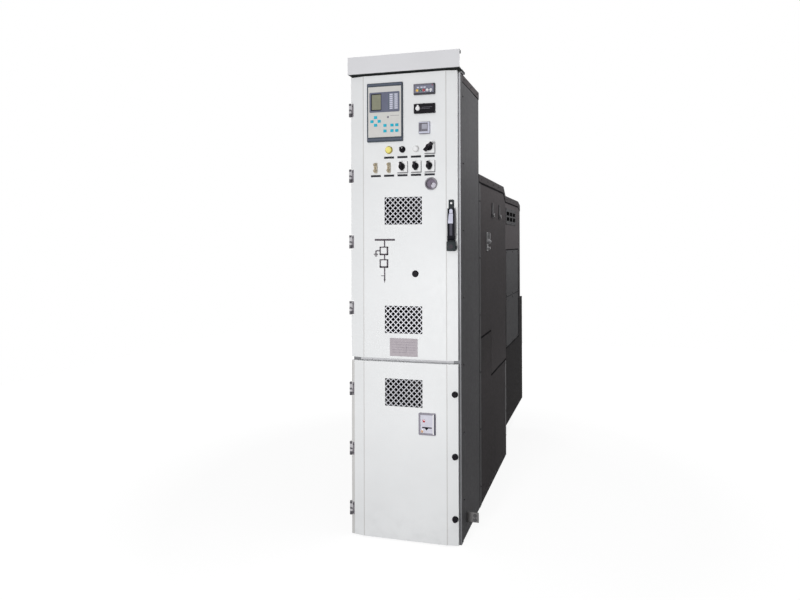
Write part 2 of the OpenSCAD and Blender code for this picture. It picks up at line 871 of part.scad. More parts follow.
module label_strips() color([0.15, 0.15, 0.17]) placed() {
    upper = [for (i = [1:4]) [column_x[i], row_1_z - label_drop]];
    lower = [for (i = [0:4]) [column_x[i], row_2_z - label_drop]];
    for (p = concat(upper, lower)) translate([p[0], 0, p[1]]) {
        in_front(door_front - label_t, door_front) square([label_w, label_h], center = true);
    }
}

module gas_gauge() color("gray") placed() turned(gauge_x, gauge_z, [
    [0, -40], [gauge_barrel, -40], [gauge_barrel, 0], [gauge_r, 0], [gauge_r, 8], [gauge_r - 2, 10],
    [gauge_r - 5, 10], [gauge_r - 8, 2], [gauge_r - 8, -6], [0, -6]
]);

module hole_plug() color([0.08, 0.08, 0.09]) placed() turned(plug_x, plug_z, [
    [0, -12], [plug_r, -12], [plug_r, 0], [plug_r + 4, 0], [plug_r + 4, 2], [plug_r, 5], [0, 5]
]);

module rating_plate() color([0.68, 0.66, 0.67]) placed() {
    translate([rating_x, 0, rating_z]) {
        in_front(door_front - label_t, door_front) round_rect(rating_w, rating_h, 3);
    }
}

// Swing handle on the right strip of the upper door

module handle_base() color([0.08, 0.08, 0.09]) placed() on_strip() difference() {
    union() {
        translate([0, 0, handle_top - handle_h / 2]) in_front(-plate_t, 0) round_rect(plate_w, handle_h, 6);
        translate([0, 0, handle_bottom + block_h / 2]) {
            in_front(-block_out, -plate_t) round_rect(block_w, block_h, 5);
        }
        translate([block_w / 2, 0, handle_bottom]) block(-1, 6, -18, -plate_t - 1, 12, 26);
    }
    barrel(0, handle_top - 12, 5, -plate_t - 1, -1);
    barrel(0, pivot_z, stem_r + pin_clear, -plate_t - 1, -1);
}

module handle_pivot() color([0.3, 0.3, 0.31]) placed() on_strip() difference() {
    union() {
        barrel(0, pivot_z, pivot_r, -20, -plate_t - 0.5);
        barrel(0, pivot_z, stem_r, -plate_t - 0.5, -1.5);
    }
    translate([-20, -pivot_out, pivot_z]) rotate([0, 90, 0]) cylinder(r = pin_r + pin_clear, h = 40);
}

module handle_lever() color([0.08, 0.08, 0.09]) placed() on_strip() {
    half = lever_w / 2;
    difference() {
        across(-half, half, [
            [-10, lever_top], [-21, lever_top], [-lever_out, lever_knee], [-lever_out, lever_bottom + 8],
            [-lever_out + 8, lever_bottom], [-10, lever_bottom]
        ]);
        across(cheek - half, half - cheek, [
            [-9, lever_top + 1], [-21, lever_top + 1], [-22, pivot_z - 14],
            [-lever_out + 6, lever_knee - 10], [-lever_out + 6, lever_bottom + 8], [-9, lever_bottom + 8]
        ]);
        translate([0, 0, lever_top]) block(cheek - half, half - cheek, -30, -9, -26, 1);
    }
    translate([-half, -pivot_out, pivot_z]) rotate([0, 90, 0]) cylinder(r = pin_r, h = lever_w);
}

// Small pieces on the lower door

module earthing_plate() color([0.6, 0.59, 0.64]) placed() {
    front = door_front - earthing_t;
    translate([earthing_x, 0, earthing_z]) difference() {
        in_front(front, door_front) round_rect(earthing_w, earthing_h, 6);
        in_front(front - 1, front + 4) translate([-2, 0]) {
            square([earthing_w - 22, earthing_h - 20], center = true);
        }
        in_front(front - 1, door_front - 1) {
            translate([-1, -19]) square([52, 6], center = true);
            translate([-4, -24]) circle(8);
        }
    }
}

module door_knobs() color([0.08, 0.08, 0.09]) placed() on_strip() for (z = lower_hinges) {
    translate([15, 0, z]) rotate([90, 0, 0]) rotate_extrude() polygon([
        [0, 0], [16, 0], [16, 6], [14, 8], [13, 8], [13, 17], [10, 20], [0, 20]
    ]);
}

base_rails();
base_crossbars();
front_posts();
front_rails();
front_sides();
front_roof();
bulkhead();
mid_shelf();
cornice();
tank_upper_panels();
tank_lower_panels();
tank_lid();
tank_rear_wall();
bus_sides();
bus_lid();
bus_rear_cover();
rear_box_sides();
rear_box_wrap();
bus_louvres();
side_covers();
lifting_lugs();
gas_valve();
earth_bar();
hinge_bases();
upper_door();
upper_hinge_leaves();
upper_grilles();
relay_case();
relay_face();
relay_screen();
relay_keys();
voltage_indicator();
control_unit();
humidity_controller();
yellow_button();
black_knob();
white_button();
switch_plates();
test_links();
label_strips();
gas_gauge();
hole_plug();
rating_plate();
handle_base();
handle_pivot();
handle_lever();
control_switch_handle();
left_selector_handle();
middle_selector_handle();
right_selector_handle();
lower_door();
lower_hinge_leaves();
lower_grille();
earthing_plate();
door_knobs();
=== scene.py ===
"""Looks of a gas-insulated switchgear panel: finishes, small fittings, printed marks, light and camera.

Lengths are in millimetres in the part's own coordinates: x from the centre line, y back from the front frame, z up.
The function at() turns them into the shared frame in metres.
"""
import json
import math

import bmesh
import bpy
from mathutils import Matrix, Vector


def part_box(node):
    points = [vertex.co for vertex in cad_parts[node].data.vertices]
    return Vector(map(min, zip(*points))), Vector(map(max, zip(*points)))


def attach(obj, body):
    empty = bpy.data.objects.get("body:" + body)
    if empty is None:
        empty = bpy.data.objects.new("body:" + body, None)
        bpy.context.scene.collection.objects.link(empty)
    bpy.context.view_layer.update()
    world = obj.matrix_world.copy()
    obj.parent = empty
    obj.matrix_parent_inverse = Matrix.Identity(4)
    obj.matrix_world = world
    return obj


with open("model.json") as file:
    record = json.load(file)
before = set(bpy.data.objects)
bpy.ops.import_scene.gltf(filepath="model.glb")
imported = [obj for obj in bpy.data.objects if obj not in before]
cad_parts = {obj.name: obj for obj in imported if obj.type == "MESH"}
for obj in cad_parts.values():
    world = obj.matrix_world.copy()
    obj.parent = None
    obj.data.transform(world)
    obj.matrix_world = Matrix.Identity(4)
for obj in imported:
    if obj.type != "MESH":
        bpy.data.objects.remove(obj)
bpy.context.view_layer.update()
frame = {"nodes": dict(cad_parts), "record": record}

MM = 0.001
NODE = frame["nodes"]
# The bodies of the two doors
UPPER, LOWER = "upper_door", "lower_door"

# The levels of painted shade by height run from the floor to a little above the part, in metres
TALLEST = 2.6
# How far an added piece reaches into the one that carries it
SINK = 0.2

# The front face of the upper door lies 30 mm ahead of the front frame, which sets the offset in y
DOOR_FACE = -30.0
SHIFT_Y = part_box("upper_door")[0].y - DOOR_FACE * MM


def at(x, y, z):
    """A point of the part, in metres in the shared frame."""
    return Vector((x * MM, y * MM + SHIFT_Y, z * MM))


# The bevelled strip at the right edge of each door, seen from above, and the handle's middle line on it
FOLD_X, BEVEL_W, BEVEL_D = 230.0, 65.0, 10.0
STRIP_X = 256.5
STRIP_Y = DOOR_FACE + BEVEL_D * (STRIP_X - FOLD_X) / BEVEL_W
STRIP_TURN = math.atan2(BEVEL_D, BEVEL_W)


def middle(node):
    """The centre of a node seen from the front, x and z in millimetres."""
    low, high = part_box(node)
    return (low.x + high.x) / 2 / MM, (low.z + high.z) / 2 / MM


def front_of(node):
    """The foremost plane of a node, in millimetres."""
    return (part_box(node)[0].y - SHIFT_Y) / MM


def on_strip(along, out, z):
    """A point on the right-hand strip: along it, straight out of it, and up."""
    x = STRIP_X + along * math.cos(STRIP_TURN) + out * math.sin(STRIP_TURN)
    y = STRIP_Y + along * math.sin(STRIP_TURN) - out * math.cos(STRIP_TURN)
    return at(x, y, z)


STRIP_OUT = Vector((math.sin(STRIP_TURN), -math.cos(STRIP_TURN), 0.0))
FORWARD = Vector((0.0, -1.0, 0.0))
BACKWARD = Vector((0.0, 1.0, 0.0))
UP = Vector((0.0, 0.0, 1.0))


# Node materials


def fill(tree, node, inputs):
    """Sets a node's inputs, each from a socket or a plain value."""
    for name, value in inputs.items():
        if isinstance(value, bpy.types.NodeSocket):
            tree.links.new(value, node.inputs[name])
        else:
            node.inputs[name].default_value = value
    return node


def new(tree, kind, inputs):
    """A new shader node with its inputs set."""
    return fill(tree, tree.nodes.new("ShaderNode" + kind), inputs)


def shader(name, rough=0.5, metal=0.0, specular=0.5):
    """A new node material, its tree and its main shader."""
    mat = bpy.data.materials.new(name)
    mat.use_nodes = True
    tree = mat.node_tree
    look = {"Roughness": rough, "Metallic": metal, "Specular IOR Level": specular}
    return mat, tree, fill(tree, tree.nodes["Principled BSDF"], look)


def place(tree, stretch=(1.0, 1.0, 1.0)):
    """The surface's own coordinates, stretched."""
    tex = tree.nodes.new("ShaderNodeTexCoord")
    return new(tree, "Mapping", {"Vector": tex.outputs["Object"], "Scale": stretch}).outputs["Vector"]


def coordinate(tree, where, axis):
    """One of a place's three coordinates."""
    return new(tree, "SeparateXYZ", {"Vector": where}).outputs[axis]


def noise(tree, where, scale, detail=3.0):
    """Soft random patches."""
    look = {"Vector": where, "Scale": scale, "Detail": detail, "Roughness": 0.55}
    return new(tree, "TexNoise", look).outputs["Fac"]


def maths(tree, operation, one, two):
    """A sum on two values, which are sockets or plain numbers."""
    node = new(tree, "Math", {0: one, 1: two})
    node.operation = operation
    return node.outputs[0]


def span(tree, value, low, high, start=0.3, end=0.7):
    """Spreads a value between start and end over the range low to high."""
    limits = {"Value": value, "From Min": start, "From Max": end, "To Min": low, "To Max": high}
    return new(tree, "MapRange", limits).outputs["Result"]


def shades(tree, value, stops):
    """A colour for each value, from (position, colour) stops."""
    node = new(tree, "ValToRGB", {"Fac": value})
    ramp = node.color_ramp
    ramp.elements[0].position, ramp.elements[0].color = stops[0][0], (*stops[0][1], 1.0)
    ramp.elements[1].position, ramp.elements[1].color = stops[-1][0], (*stops[-1][1], 1.0)
    for position, colour in stops[1:-1]:
        ramp.elements.new(position).color = (*colour, 1.0)
    return node.outputs["Color"]


def tint(colour, factor):
    """A colour made darker or lighter."""
    return tuple(min(1.0, c * factor) for c in colour)


def two_tone(tree, value, colour, dark, light):
    """A colour that wanders between a darker and a lighter tint of itself."""
    return shades(tree, value, [(0.3, tint(colour, dark)), (0.7, tint(colour, light))])


def blend(tree, share, one, two, mode="MIX"):
    """Mixes two colours; share and the colours are sockets or plain values."""
    node = tree.nodes.new("ShaderNodeMix")
    node.data_type = "RGBA"
    node.blend_type = mode
    for socket, value in (("Factor_Float", share), ("A_Color", one), ("B_Color", two)):
        target = next(s for s in node.inputs if s.identifier == socket)
        if isinstance(value, bpy.types.NodeSocket):
            tree.links.new(value, target)
        else:
            target.default_value = (*value, 1.0) if isinstance(value, tuple) else value
    return next(s for s in node.outputs if s.identifier == "Result_Color")


def relief(tree, bsdf, height, strength, depth):
    """A fine bump on the surface."""
    bump = new(tree, "Bump", {"Height": height, "Strength": strength, "Distance": depth})
    fill(tree, bsdf, {"Normal": bump.outputs["Normal"]})


def powder_coat(name, colour, rough=0.45, spread=0.03, specular=0.4):
    """Powder coat: orange peel, faint clouds, and grime gathering low on the panel."""
    mat, tree, bsdf = shader(name, rough, specular=specular)
    where = place(tree)
    paint = two_tone(tree, noise(tree, where, 2.4, 4.0), colour, 1 - spread, 1 + spread)
    low = span(tree, coordinate(tree, where, "Z"), 0.35, 0.0, 0.0, 0.22)
    patch = span(tree, noise(tree, where, 14.0, 5.0), 0.0, 1.0, 0.45, 0.75)
    fill(tree, bsdf, {
        "Base Color": blend(tree, maths(tree, "MULTIPLY", low, patch), paint, tint(colour, 0.72)),
        "Roughness": span(tree, noise(tree, where, 35.0), rough - 0.05, rough + 0.07),
    })
    relief(tree, bsdf, noise(tree, where, 620.0, 2.0), 0.12, 0.0003)
    return mat


def by_height(tree, where, levels):
    """A grey for each height in metres, from (height, brightness) levels."""
    share = span(tree, coordinate(tree, where, "Z"), 0.0, 1.0, 0.0, TALLEST)
    return shades(tree, share, [(z / TALLEST, (level, level, level)) for z, level in levels])


def zinc_sheet(name, colour, rough=0.5, metal=0.0, specular=0.2, levels=None, rear_levels=None):
    """Zinc-coated sheet: a spangle of small crystals, streaks that are partly drawing marks and partly painted
    reflection, soft clouds, and painted shade that darkens it by height.
    """
    mat, tree, bsdf = shader(name, rough, metal, specular)
    where = place(tree)
    crystal = new(tree, "TexVoronoi", {"Vector": where, "Scale": 55.0})
    streak = noise(tree, place(tree, (9.0, 9.0, 0.8)), 3.0, 4.0)
    base = two_tone(tree, noise(tree, where, 1.6), colour, 0.93, 1.07)
    # The streaks are partly drawing marks and partly painted reflection
    drawn = shades(tree, streak, [(0.3, (0.93, 0.93, 0.94)), (0.7, (1.0, 1.0, 1.0))])
    base = blend(tree, 1.0, base, drawn, "MULTIPLY")
    # Painted shade: the sheet darkens by height, and towards the back by a second set of levels
    if levels:
        height_shade = by_height(tree, where, levels)
        if rear_levels:
            behind = span(tree, coordinate(tree, where, "Y"), 0.0, 1.0, 0.2, 0.3)
            height_shade = blend(tree, behind, height_shade, by_height(tree, where, rear_levels))
        base = blend(tree, 1.0, base, height_shade, "MULTIPLY")
    sparkle = shades(tree, crystal.outputs["Color"], [(0.2, (0.9, 0.9, 0.9)), (0.8, (1.0, 1.0, 1.0))])
    fill(tree, bsdf, {
        "Base Color": blend(tree, 0.6, base, sparkle, "MULTIPLY"),
        "Roughness": span(tree, crystal.outputs["Distance"], rough - 0.06, rough + 0.08, 0.0, 0.8),
    })
    relief(tree, bsdf, noise(tree, where, 260.0), 0.1, 0.0003)
    return mat


def plain_metal(name, colour, rough=0.35):
    """Bare metal with a drawn grain and dull patches."""
    mat, tree, bsdf = shader(name, rough, 1.0)
    dull = noise(tree, place(tree), 40.0, 4.0)
    fill(tree, bsdf, {
        "Base Color": two_tone(tree, dull, colour, 0.8, 1.1),
        "Roughness": span(tree, dull, rough + 0.12, rough - 0.08),
    })
    relief(tree, bsdf, noise(tree, place(tree, (40.0, 40.0, 1.5)), 22.0), 0.12, 0.0002)
    return mat


def plastic(name, colour, rough=0.45, grain=1500.0, spread=0.06, specular=0.15, coat=0.0):
    """Moulded plastic with a fine spark-eroded grain and faint handling marks."""
    mat, tree, bsdf = shader(name, rough, specular=specular)
    where = place(tree)
    fill(tree, bsdf, {
        "Coat Weight": coat,
        "Coat Roughness": 0.08,
        "Base Color": two_tone(tree, noise(tree, where, 48.0, 4.0), colour, 1 - spread, 1 + spread),
        "Roughness": span(tree, noise(tree, where, 90.0), rough - 0.07, rough + 0.07),
    })
    relief(tree, bsdf, noise(tree, where, grain, 2.0), 0.12, 0.00015)
    return mat


def display(name, colour, line):
    """A liquid-crystal window: faint rows of dots under a smooth front."""
    mat, tree, bsdf = shader(name, 0.25, specular=0.12)
    where = place(tree)
    wave = new(tree, "TexWave", {"Vector": where, "Scale": 42.0})
    wave.bands_direction = "Z"
    rows = span(tree, wave.outputs["Fac"], 0.0, 0.35, 0.55, 0.95)
    base = two_tone(tree, noise(tree, where, 30.0), colour, 0.92, 1.08)
    fill(tree, bsdf, {
        "Base Color": blend(tree, rows, base, line),
        "Roughness": span(tree, noise(tree, where, 200.0), 0.2, 0.3),
    })
    return mat


def lens(name, colour):
    """A small moulded lens, clear on top of its colour."""
    mat, tree, bsdf = shader(name, 0.18)
    where = place(tree)
    fill(tree, bsdf, {
        "Coat Weight": 0.6,
        "Base Color": two_tone(tree, noise(tree, where, 160.0), colour, 0.85, 1.1),
        "Roughness": span(tree, noise(tree, where, 300.0), 0.12, 0.24),
    })
    return mat


def rubber(name, colour):
    """Dull, faintly grained rubber."""
    mat, tree, bsdf = shader(name, 0.75, specular=0.3)
    where = place(tree)
    fill(tree, bsdf, {"Base Color": two_tone(tree, noise(tree, where, 60.0, 4.0), colour, 0.8, 1.3)})
    relief(tree, bsdf, noise(tree, where, 900.0), 0.2, 0.0002)
    return mat


def wear(node, material):
    """Gives a node one finish."""
    slots = NODE[node].data.materials
    slots.clear()
    slots.append(material)


# Brightness at heights in metres, all painted shade: where less light falls on the side sheets and the posts, and
# inside the vents
FRONT_PAINTED_SHADE = [(0.0, 0.86), (0.5, 0.90), (0.9, 0.86), (1.5, 0.72), (1.85, 0.83), (2.05, 0.96), (2.45, 0.75)]
TANK_PAINTED_SHADE = [(0.0, 0.84), (0.5, 0.86), (0.72, 0.94), (1.0, 0.72), (1.4, 0.72), (1.7, 0.80), (1.86, 0.97), (1.98, 1.0)]
BUS_PAINTED_SHADE = [(0.2, 0.62), (0.8, 0.50), (1.15, 0.51), (1.4, 0.69), (1.9, 0.71)]
POST_PAINTED_SHADE = [(0.0, 0.36), (0.9, 0.44), (1.3, 0.8), (1.7, 1.0), (2.6, 1.0)]
VENT_PAINTED_SHADE = [(0.0, 0.72), (0.9, 0.72), (1.05, 1.0), (1.3, 1.0), (1.6, 0.83), (2.6, 0.83)]

# One finish for each material slot of the record; side_dark and grille_white take painted shade by height
FINISH = {name: make(name, *look) for name, make, *look in (
    ("front_white", powder_coat, (0.8, 0.81, 0.82), 0.42),
    ("frame_grey", powder_coat, (0.38, 0.38, 0.395), 0.5, 0.04, 0.15),
    ("cornice_grey", powder_coat, (0.72, 0.72, 0.745), 0.45),
    ("side_dark", zinc_sheet, (0.15, 0.148, 0.154), 0.6, 0.0, 0.03, FRONT_PAINTED_SHADE, BUS_PAINTED_SHADE),
    ("galvanised", zinc_sheet, (0.5, 0.51, 0.52), 0.42, 0.7, 0.5),
    ("base_dark", powder_coat, (0.08, 0.08, 0.085), 0.6, 0.1, 0.05),
    ("hinge_metal", plastic, (0.075, 0.07, 0.08), 0.4, 700.0, 0.2, 0.3),
    ("bright_steel", plain_metal, (0.78, 0.78, 0.79), 0.22),
    ("tinned_bar", zinc_sheet, (0.21, 0.205, 0.205), 0.45, 0.0, 0.12),
    ("grille_white", zinc_sheet, (0.9, 0.9, 0.96), 0.5, 0.0, 0.1, VENT_PAINTED_SHADE),
    ("relay_slate", plastic, (0.06, 0.074, 0.094), 0.42),
    ("relay_cream", plastic, (0.66, 0.65, 0.63), 0.5, 900.0, 0.02),
    ("screen_slate", plastic, (0.15, 0.16, 0.222), 0.35, 2200.0, 0.05, 0.1),
    ("key_turquoise", plastic, (0.02, 0.44, 0.6), 0.5),
    ("black_plastic", plastic, (0.01, 0.009, 0.012), 0.35, 1500.0, 0.15, 0.06),
    ("indicator_dark", plastic, (0.045, 0.045, 0.055), 0.35),
    ("meter_grey", plastic, (0.2, 0.19, 0.225), 0.45),
    ("yellow_lens", plastic, (0.89, 0.79, 0.22), 0.25, 2200.0, 0.05, 0.4, 0.2),
    ("white_plastic", plastic, (0.88, 0.88, 0.89), 0.42, 1500.0, 0.01),
    ("link_beige", plastic, (0.5, 0.445, 0.345), 0.5, 800.0, 0.15),
    ("label_black", plastic, (0.022, 0.022, 0.028), 0.5),
    ("gauge_grey", plastic, (0.3, 0.285, 0.315), 0.4, 700.0, 0.1, 0.2),
    ("plate_grey", plastic, (0.44, 0.4, 0.43), 0.45, 700.0, 0.06, 0.2),
    ("earthing_grey", plastic, (0.3, 0.285, 0.33), 0.5),
)}
for part in frame["record"]["subparts"]:
    wear(part["node"], FINISH[part["material_slot"]])

# Finishes of the added pieces and of nodes that differ from their slot
PRINT = plastic("printed_mark", (0.085, 0.07, 0.085), 0.55, 900.0, 0.1)
LCD = display("lcd_window", (0.275, 0.278, 0.205), (0.19, 0.195, 0.14))
CARD = plastic("label_card", (0.66, 0.67, 0.79), 0.5, 900.0, 0.05)
CARD_GREY = plastic("card_holder", (0.27, 0.275, 0.35), 0.5, 900.0, 0.05)
DIAL = plastic("dial_face", (0.21, 0.18, 0.23), 0.5, 900.0, 0.04)
DIAL_PAINTED_LIGHT = plastic("dial_painted_light", (0.62, 0.6, 0.67), 0.5, 900.0, 0.04)
RUBBER = rubber("door_seal", (0.02, 0.02, 0.02))
RED = lens("red_lens", (0.42, 0.02, 0.04))
AMBER = lens("amber_lens", (0.82, 0.5, 0.06))
GREEN = lens("green_lens", (0.02, 0.11, 0.07))
MILK = lens("white_lens", (0.82, 0.82, 0.84))
ORANGE = lens("orange_mark", (0.62, 0.34, 0.16))
EARTHING_FACE = plastic("earthing_face", (0.66, 0.655, 0.74), 0.5, 1200.0, 0.04)
SCREEN_GREY = display("meter_screen", (0.42, 0.42, 0.49), (0.26, 0.26, 0.31))
BRASS = plastic("brass_stud", (0.3, 0.235, 0.145), 0.4, 700.0, 0.2, 0.3)
SCREW_DARK = zinc_sheet("dark_screw", (0.115, 0.113, 0.118), 0.5, 0.0, 0.08)
CAP_GREY = zinc_sheet("cap_grey", (0.3, 0.295, 0.3), 0.45, 0.0, 0.2)
PANEL_GREY = plastic("indicator_panel", (0.21, 0.215, 0.28), 0.4, 2200.0, 0.05, 0.1)
PLATE_SHADOW_GREY = plastic("switch_plate_shadow_finish", (0.27, 0.27, 0.28), 0.5)
KEY_MARK = plastic("key_mark", (0.04, 0.53, 0.68), 0.5)
PALE_SHEEN_AND_CAP = plastic("handle_sheen_and_cap", (0.6, 0.61, 0.74), 0.35, 2200.0, 0.08, 0.3)
LEVER_LOWER_SHEEN = plastic("lever_lower_sheen_finish", (0.062, 0.06, 0.082), 0.4, 1500.0, 0.1, 0.12)
# A pale grey for painted shade along the door folds and round the white button, and for the printed stop marks and the
# lower door's edge trim
GREY_SHADE_AND_PRINT = powder_coat("fold_line", (0.6, 0.595, 0.59), 0.5)
# The front posts' sheet darkens towards the floor with painted shade
POST = zinc_sheet("post_grey", (0.56, 0.565, 0.59), 0.5, 0.0, 0.1, POST_PAINTED_SHADE)
RAIL = powder_coat("rail_grey", (0.62, 0.62, 0.64), 0.5, 0.03, 0.1)
HINGE_LIGHT = powder_coat("hinge_light", (0.55, 0.54, 0.56), 0.45, 0.05, 0.2)
DEEP = plastic("deep_black", (0.008, 0.008, 0.012), 0.4, 1500.0, 0.15, 0.03)
VALVE = zinc_sheet("valve_grey", (0.42, 0.42, 0.43), 0.4, 0.0, 0.2)
BASE = plastic("handle_slate", (0.028, 0.034, 0.038), 0.4, 1500.0, 0.1, 0.08)
GRIP = plastic("grip_face", (0.055, 0.046, 0.056), 0.45, 1500.0, 0.1, 0.08)
YELLOW_COLLAR_SHADE = plastic("yellow_collar_shade", (0.42, 0.33, 0.075), 0.45, 1500.0, 0.06, 0.1)
SEAL_AND_SHADOW = plastic("seal_and_shadow_black", (0.026, 0.025, 0.027), 0.8, 900.0, 0.2, 0.0)
EAVE_SHADE = plastic("eave_painted_shade", (0.046, 0.05, 0.05), 0.8, 900.0, 0.1, 0.0)
VENT_HOLE_SHADE = plastic("vent_hole_shade", (0.07, 0.07, 0.08), 0.7, 900.0, 0.1, 0.0)
LEAF = plastic("hinge_leaf", (0.2, 0.185, 0.205), 0.45, 700.0, 0.1, 0.1)
STRIPE = plastic("relay_stripe", (0.105, 0.122, 0.16), 0.42, 1500.0, 0.05, 0.12)
BAND = plastic("earthing_band", (0.11, 0.1, 0.135), 0.5, 1200.0, 0.05, 0.08)
# The lifting lugs' plates are darkened as painted shade above their studs
LUG_SHADE = zinc_sheet("lug_painted_shade", (0.06, 0.058, 0.062), 0.5, 0.0, 0.08)

# Painted light and shade: each sheet of the rear sections gets the front sheet's colour made darker or lighter, and
# painted shade by height
SHEET_SHADE_AND_LIGHT = {
    "tank_upper_panels": 0.68, "tank_lower_panels": 0.57, "tank_rear_wall": 0.7, "bus_sides": 1.3,
    "bus_rear_cover": 1.0, "rear_box_sides": 0.35, "rear_box_wrap": 0.5, "tank_lid": 0.64, "bus_lid": 0.95,
    "front_roof": 1.0, "bulkhead": 0.9,
}
SHEET = (0.152, 0.139, 0.143)
PAINTED_SHADE_OF = {"tank": TANK_PAINTED_SHADE, "bus": BUS_PAINTED_SHADE, "rear": BUS_PAINTED_SHADE}
for name, tone in SHEET_SHADE_AND_LIGHT.items():
    height_shade = PAINTED_SHADE_OF.get(name.split("_")[0], FRONT_PAINTED_SHADE)
    wear(name, zinc_sheet("sheet_" + name, tint(SHEET, tone), 0.6, 0.0, 0.01, height_shade))
OWN_FINISH = {
    "lifting_lugs": LUG_SHADE, "gas_valve": VALVE, "front_posts": POST, "front_rails": RAIL, "handle_base": BASE,
    "handle_pivot": DEEP, "handle_lever": DEEP, "hinge_bases": HINGE_LIGHT, "upper_hinge_leaves": HINGE_LIGHT,
    "lower_hinge_leaves": HINGE_LIGHT,
}
for name, finish in OWN_FINISH.items():
    wear(name, finish)


# Mesh code


def frame_of(axis):
    """Two directions across an axis."""
    axis = axis.normalized()
    side = Vector((1.0, 0.0, 0.0)) if abs(axis.x) < 0.8 else Vector((0.0, 1.0, 0.0))
    across = axis.cross(side).normalized()
    return across, axis.cross(across).normalized()


def turned(bm, centre, axis, outline, count=28):
    """A turned form: the outline is a list of radius and height in millimetres along the axis."""
    axis = axis.normalized()
    one, two = frame_of(axis)
    rings = []
    for radius, height in outline:
        hub = centre + axis * height * MM
        if radius < 1e-6:
            rings.append([bm.verts.new(hub)])
            continue
        angles = [2 * math.pi * i / count for i in range(count)]
        rings.append([bm.verts.new(hub + (one * math.cos(a) + two * math.sin(a)) * radius * MM) for a in angles])
    for first, second in zip(rings, rings[1:]):
        for i in range(count):
            j = (i + 1) % count
            corners = [first[i % len(first)], first[j % len(first)], second[j % len(second)], second[i % len(second)]]
            unique = list(dict.fromkeys(corners))
            if len(unique) > 2:
                bm.faces.new(unique)


def prism(bm, near, far):
    """A closed form between two outlines with as many points each."""
    one = [bm.verts.new(point) for point in near]
    two = [bm.verts.new(point) for point in far]
    bm.faces.new(one)
    bm.faces.new(two[::-1])
    for i in range(len(one)):
        j = (i + 1) % len(one)
        bm.faces.new([one[i], two[i], two[j], one[j]])


def slab(bm, outline, low, high):
    """A flat piece on the front: an outline in x and z, from y low to y high."""
    prism(bm, [at(x, low, z) for x, z in outline], [at(x, high, z) for x, z in outline])


def layer(bm, outline, face, out, sink=SINK):
    """A flat piece that stands out of a face on the front, and is sunk into it a little."""
    slab(bm, outline, face - out, face + sink)


def side_slab(bm, outline, low, high, side):
    """A flat piece on one side: an outline in y and z, from x low to x high outwards."""
    prism(bm, [at(side * low, y, z) for y, z in outline], [at(side * high, y, z) for y, z in outline])


def upright(bm, outline, z0, z1):
    """A straight piece standing up: an outline in x and y, from z0 to z1."""
    prism(bm, [at(x, y, z0) for x, y in outline], [at(x, y, z1) for x, y in outline])


def strip_slab(bm, outline, low, high):
    """A flat piece on the right-hand strip: an outline along it and up, from low to high straight out of it."""
    prism(bm, [on_strip(u, low, z) for u, z in outline], [on_strip(u, high, z) for u, z in outline])


def oblong(x, z, w, h, r=0.0):
    """The outline of a rectangle about its centre, with round corners in four steps."""
    if r <= 0:
        return [(x - w / 2, z - h / 2), (x + w / 2, z - h / 2), (x + w / 2, z + h / 2), (x - w / 2, z + h / 2)]
    points = []
    u, v = w / 2 - r, h / 2 - r
    for cx, cz, start in ((u, v, 0), (-u, v, 90), (-u, -v, 180), (u, -v, 270)):
        for i in range(5):
            a = math.radians(start + 90 * i / 4)
            points.append((x + cx + r * math.cos(a), z + cz + r * math.sin(a)))
    return points


def box(x0, x1, z0, z1):
    """The outline of a rectangle between its sides."""
    return [(x0, z0), (x1, z0), (x1, z1), (x0, z1)]


def spoke(x, z, turn, corners):
    """Corners along and across a direction from a centre; the turn is in degrees from the x axis."""
    u, v = math.cos(math.radians(turn)), math.sin(math.radians(turn))
    return [(x + u * r - v * w, z + v * r + u * w) for r, w in corners]


def pan_screw(bm, centre, axis, r):
    """A pan-head screw with a washer and a round socket."""
    outline = [(1.5, 0), (1.5, 0.22), (1.02, 0.26), (1, 0.55), (0.8, 0.8), (0.46, 0.9), (0.4, 0.5), (0, 0.45)]
    turned(bm, centre, axis, [(u * r, v * r) for u, v in outline], 20)


def hex_bolt(bm, centre, axis, r):
    """A hexagon bolt head on a washer."""
    turned(bm, centre, axis, [(1.55 * r, 0), (1.55 * r, 0.25 * r), (r, 0.27 * r)], 20)
    turned(bm, centre, axis, [(r, 0.2 * r), (r, 0.8 * r), (0.85 * r, 0.92 * r), (0, 0.92 * r)], 6)


def soften(obj, width, angle):
    """Breaks an object's sharp edges."""
    mod = obj.modifiers.new("edges", "BEVEL")
    mod.width = width * MM
    mod.segments = 2
    mod.limit_method = "ANGLE"
    mod.angle_limit = math.radians(angle)


def piece(name, bm, material, body, bevel=0.0, smooth=True):
    """Turns a mesh in the making into an object that rides on a body."""
    bmesh.ops.recalc_face_normals(bm, faces=bm.faces)
    mesh = bpy.data.meshes.new(name)
    bm.to_mesh(mesh)
    bm.free()
    obj = bpy.data.objects.new(name, mesh)
    bpy.context.scene.collection.objects.link(obj)
    mesh.materials.append(material)
    if bevel:
        soften(obj, bevel, 35.0)
    if smooth:
        mesh.shade_smooth()
        mesh.set_sharp_from_angle(angle=math.radians(32))
    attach(obj, body)


# Rolled and broken edges on the carried-over pieces

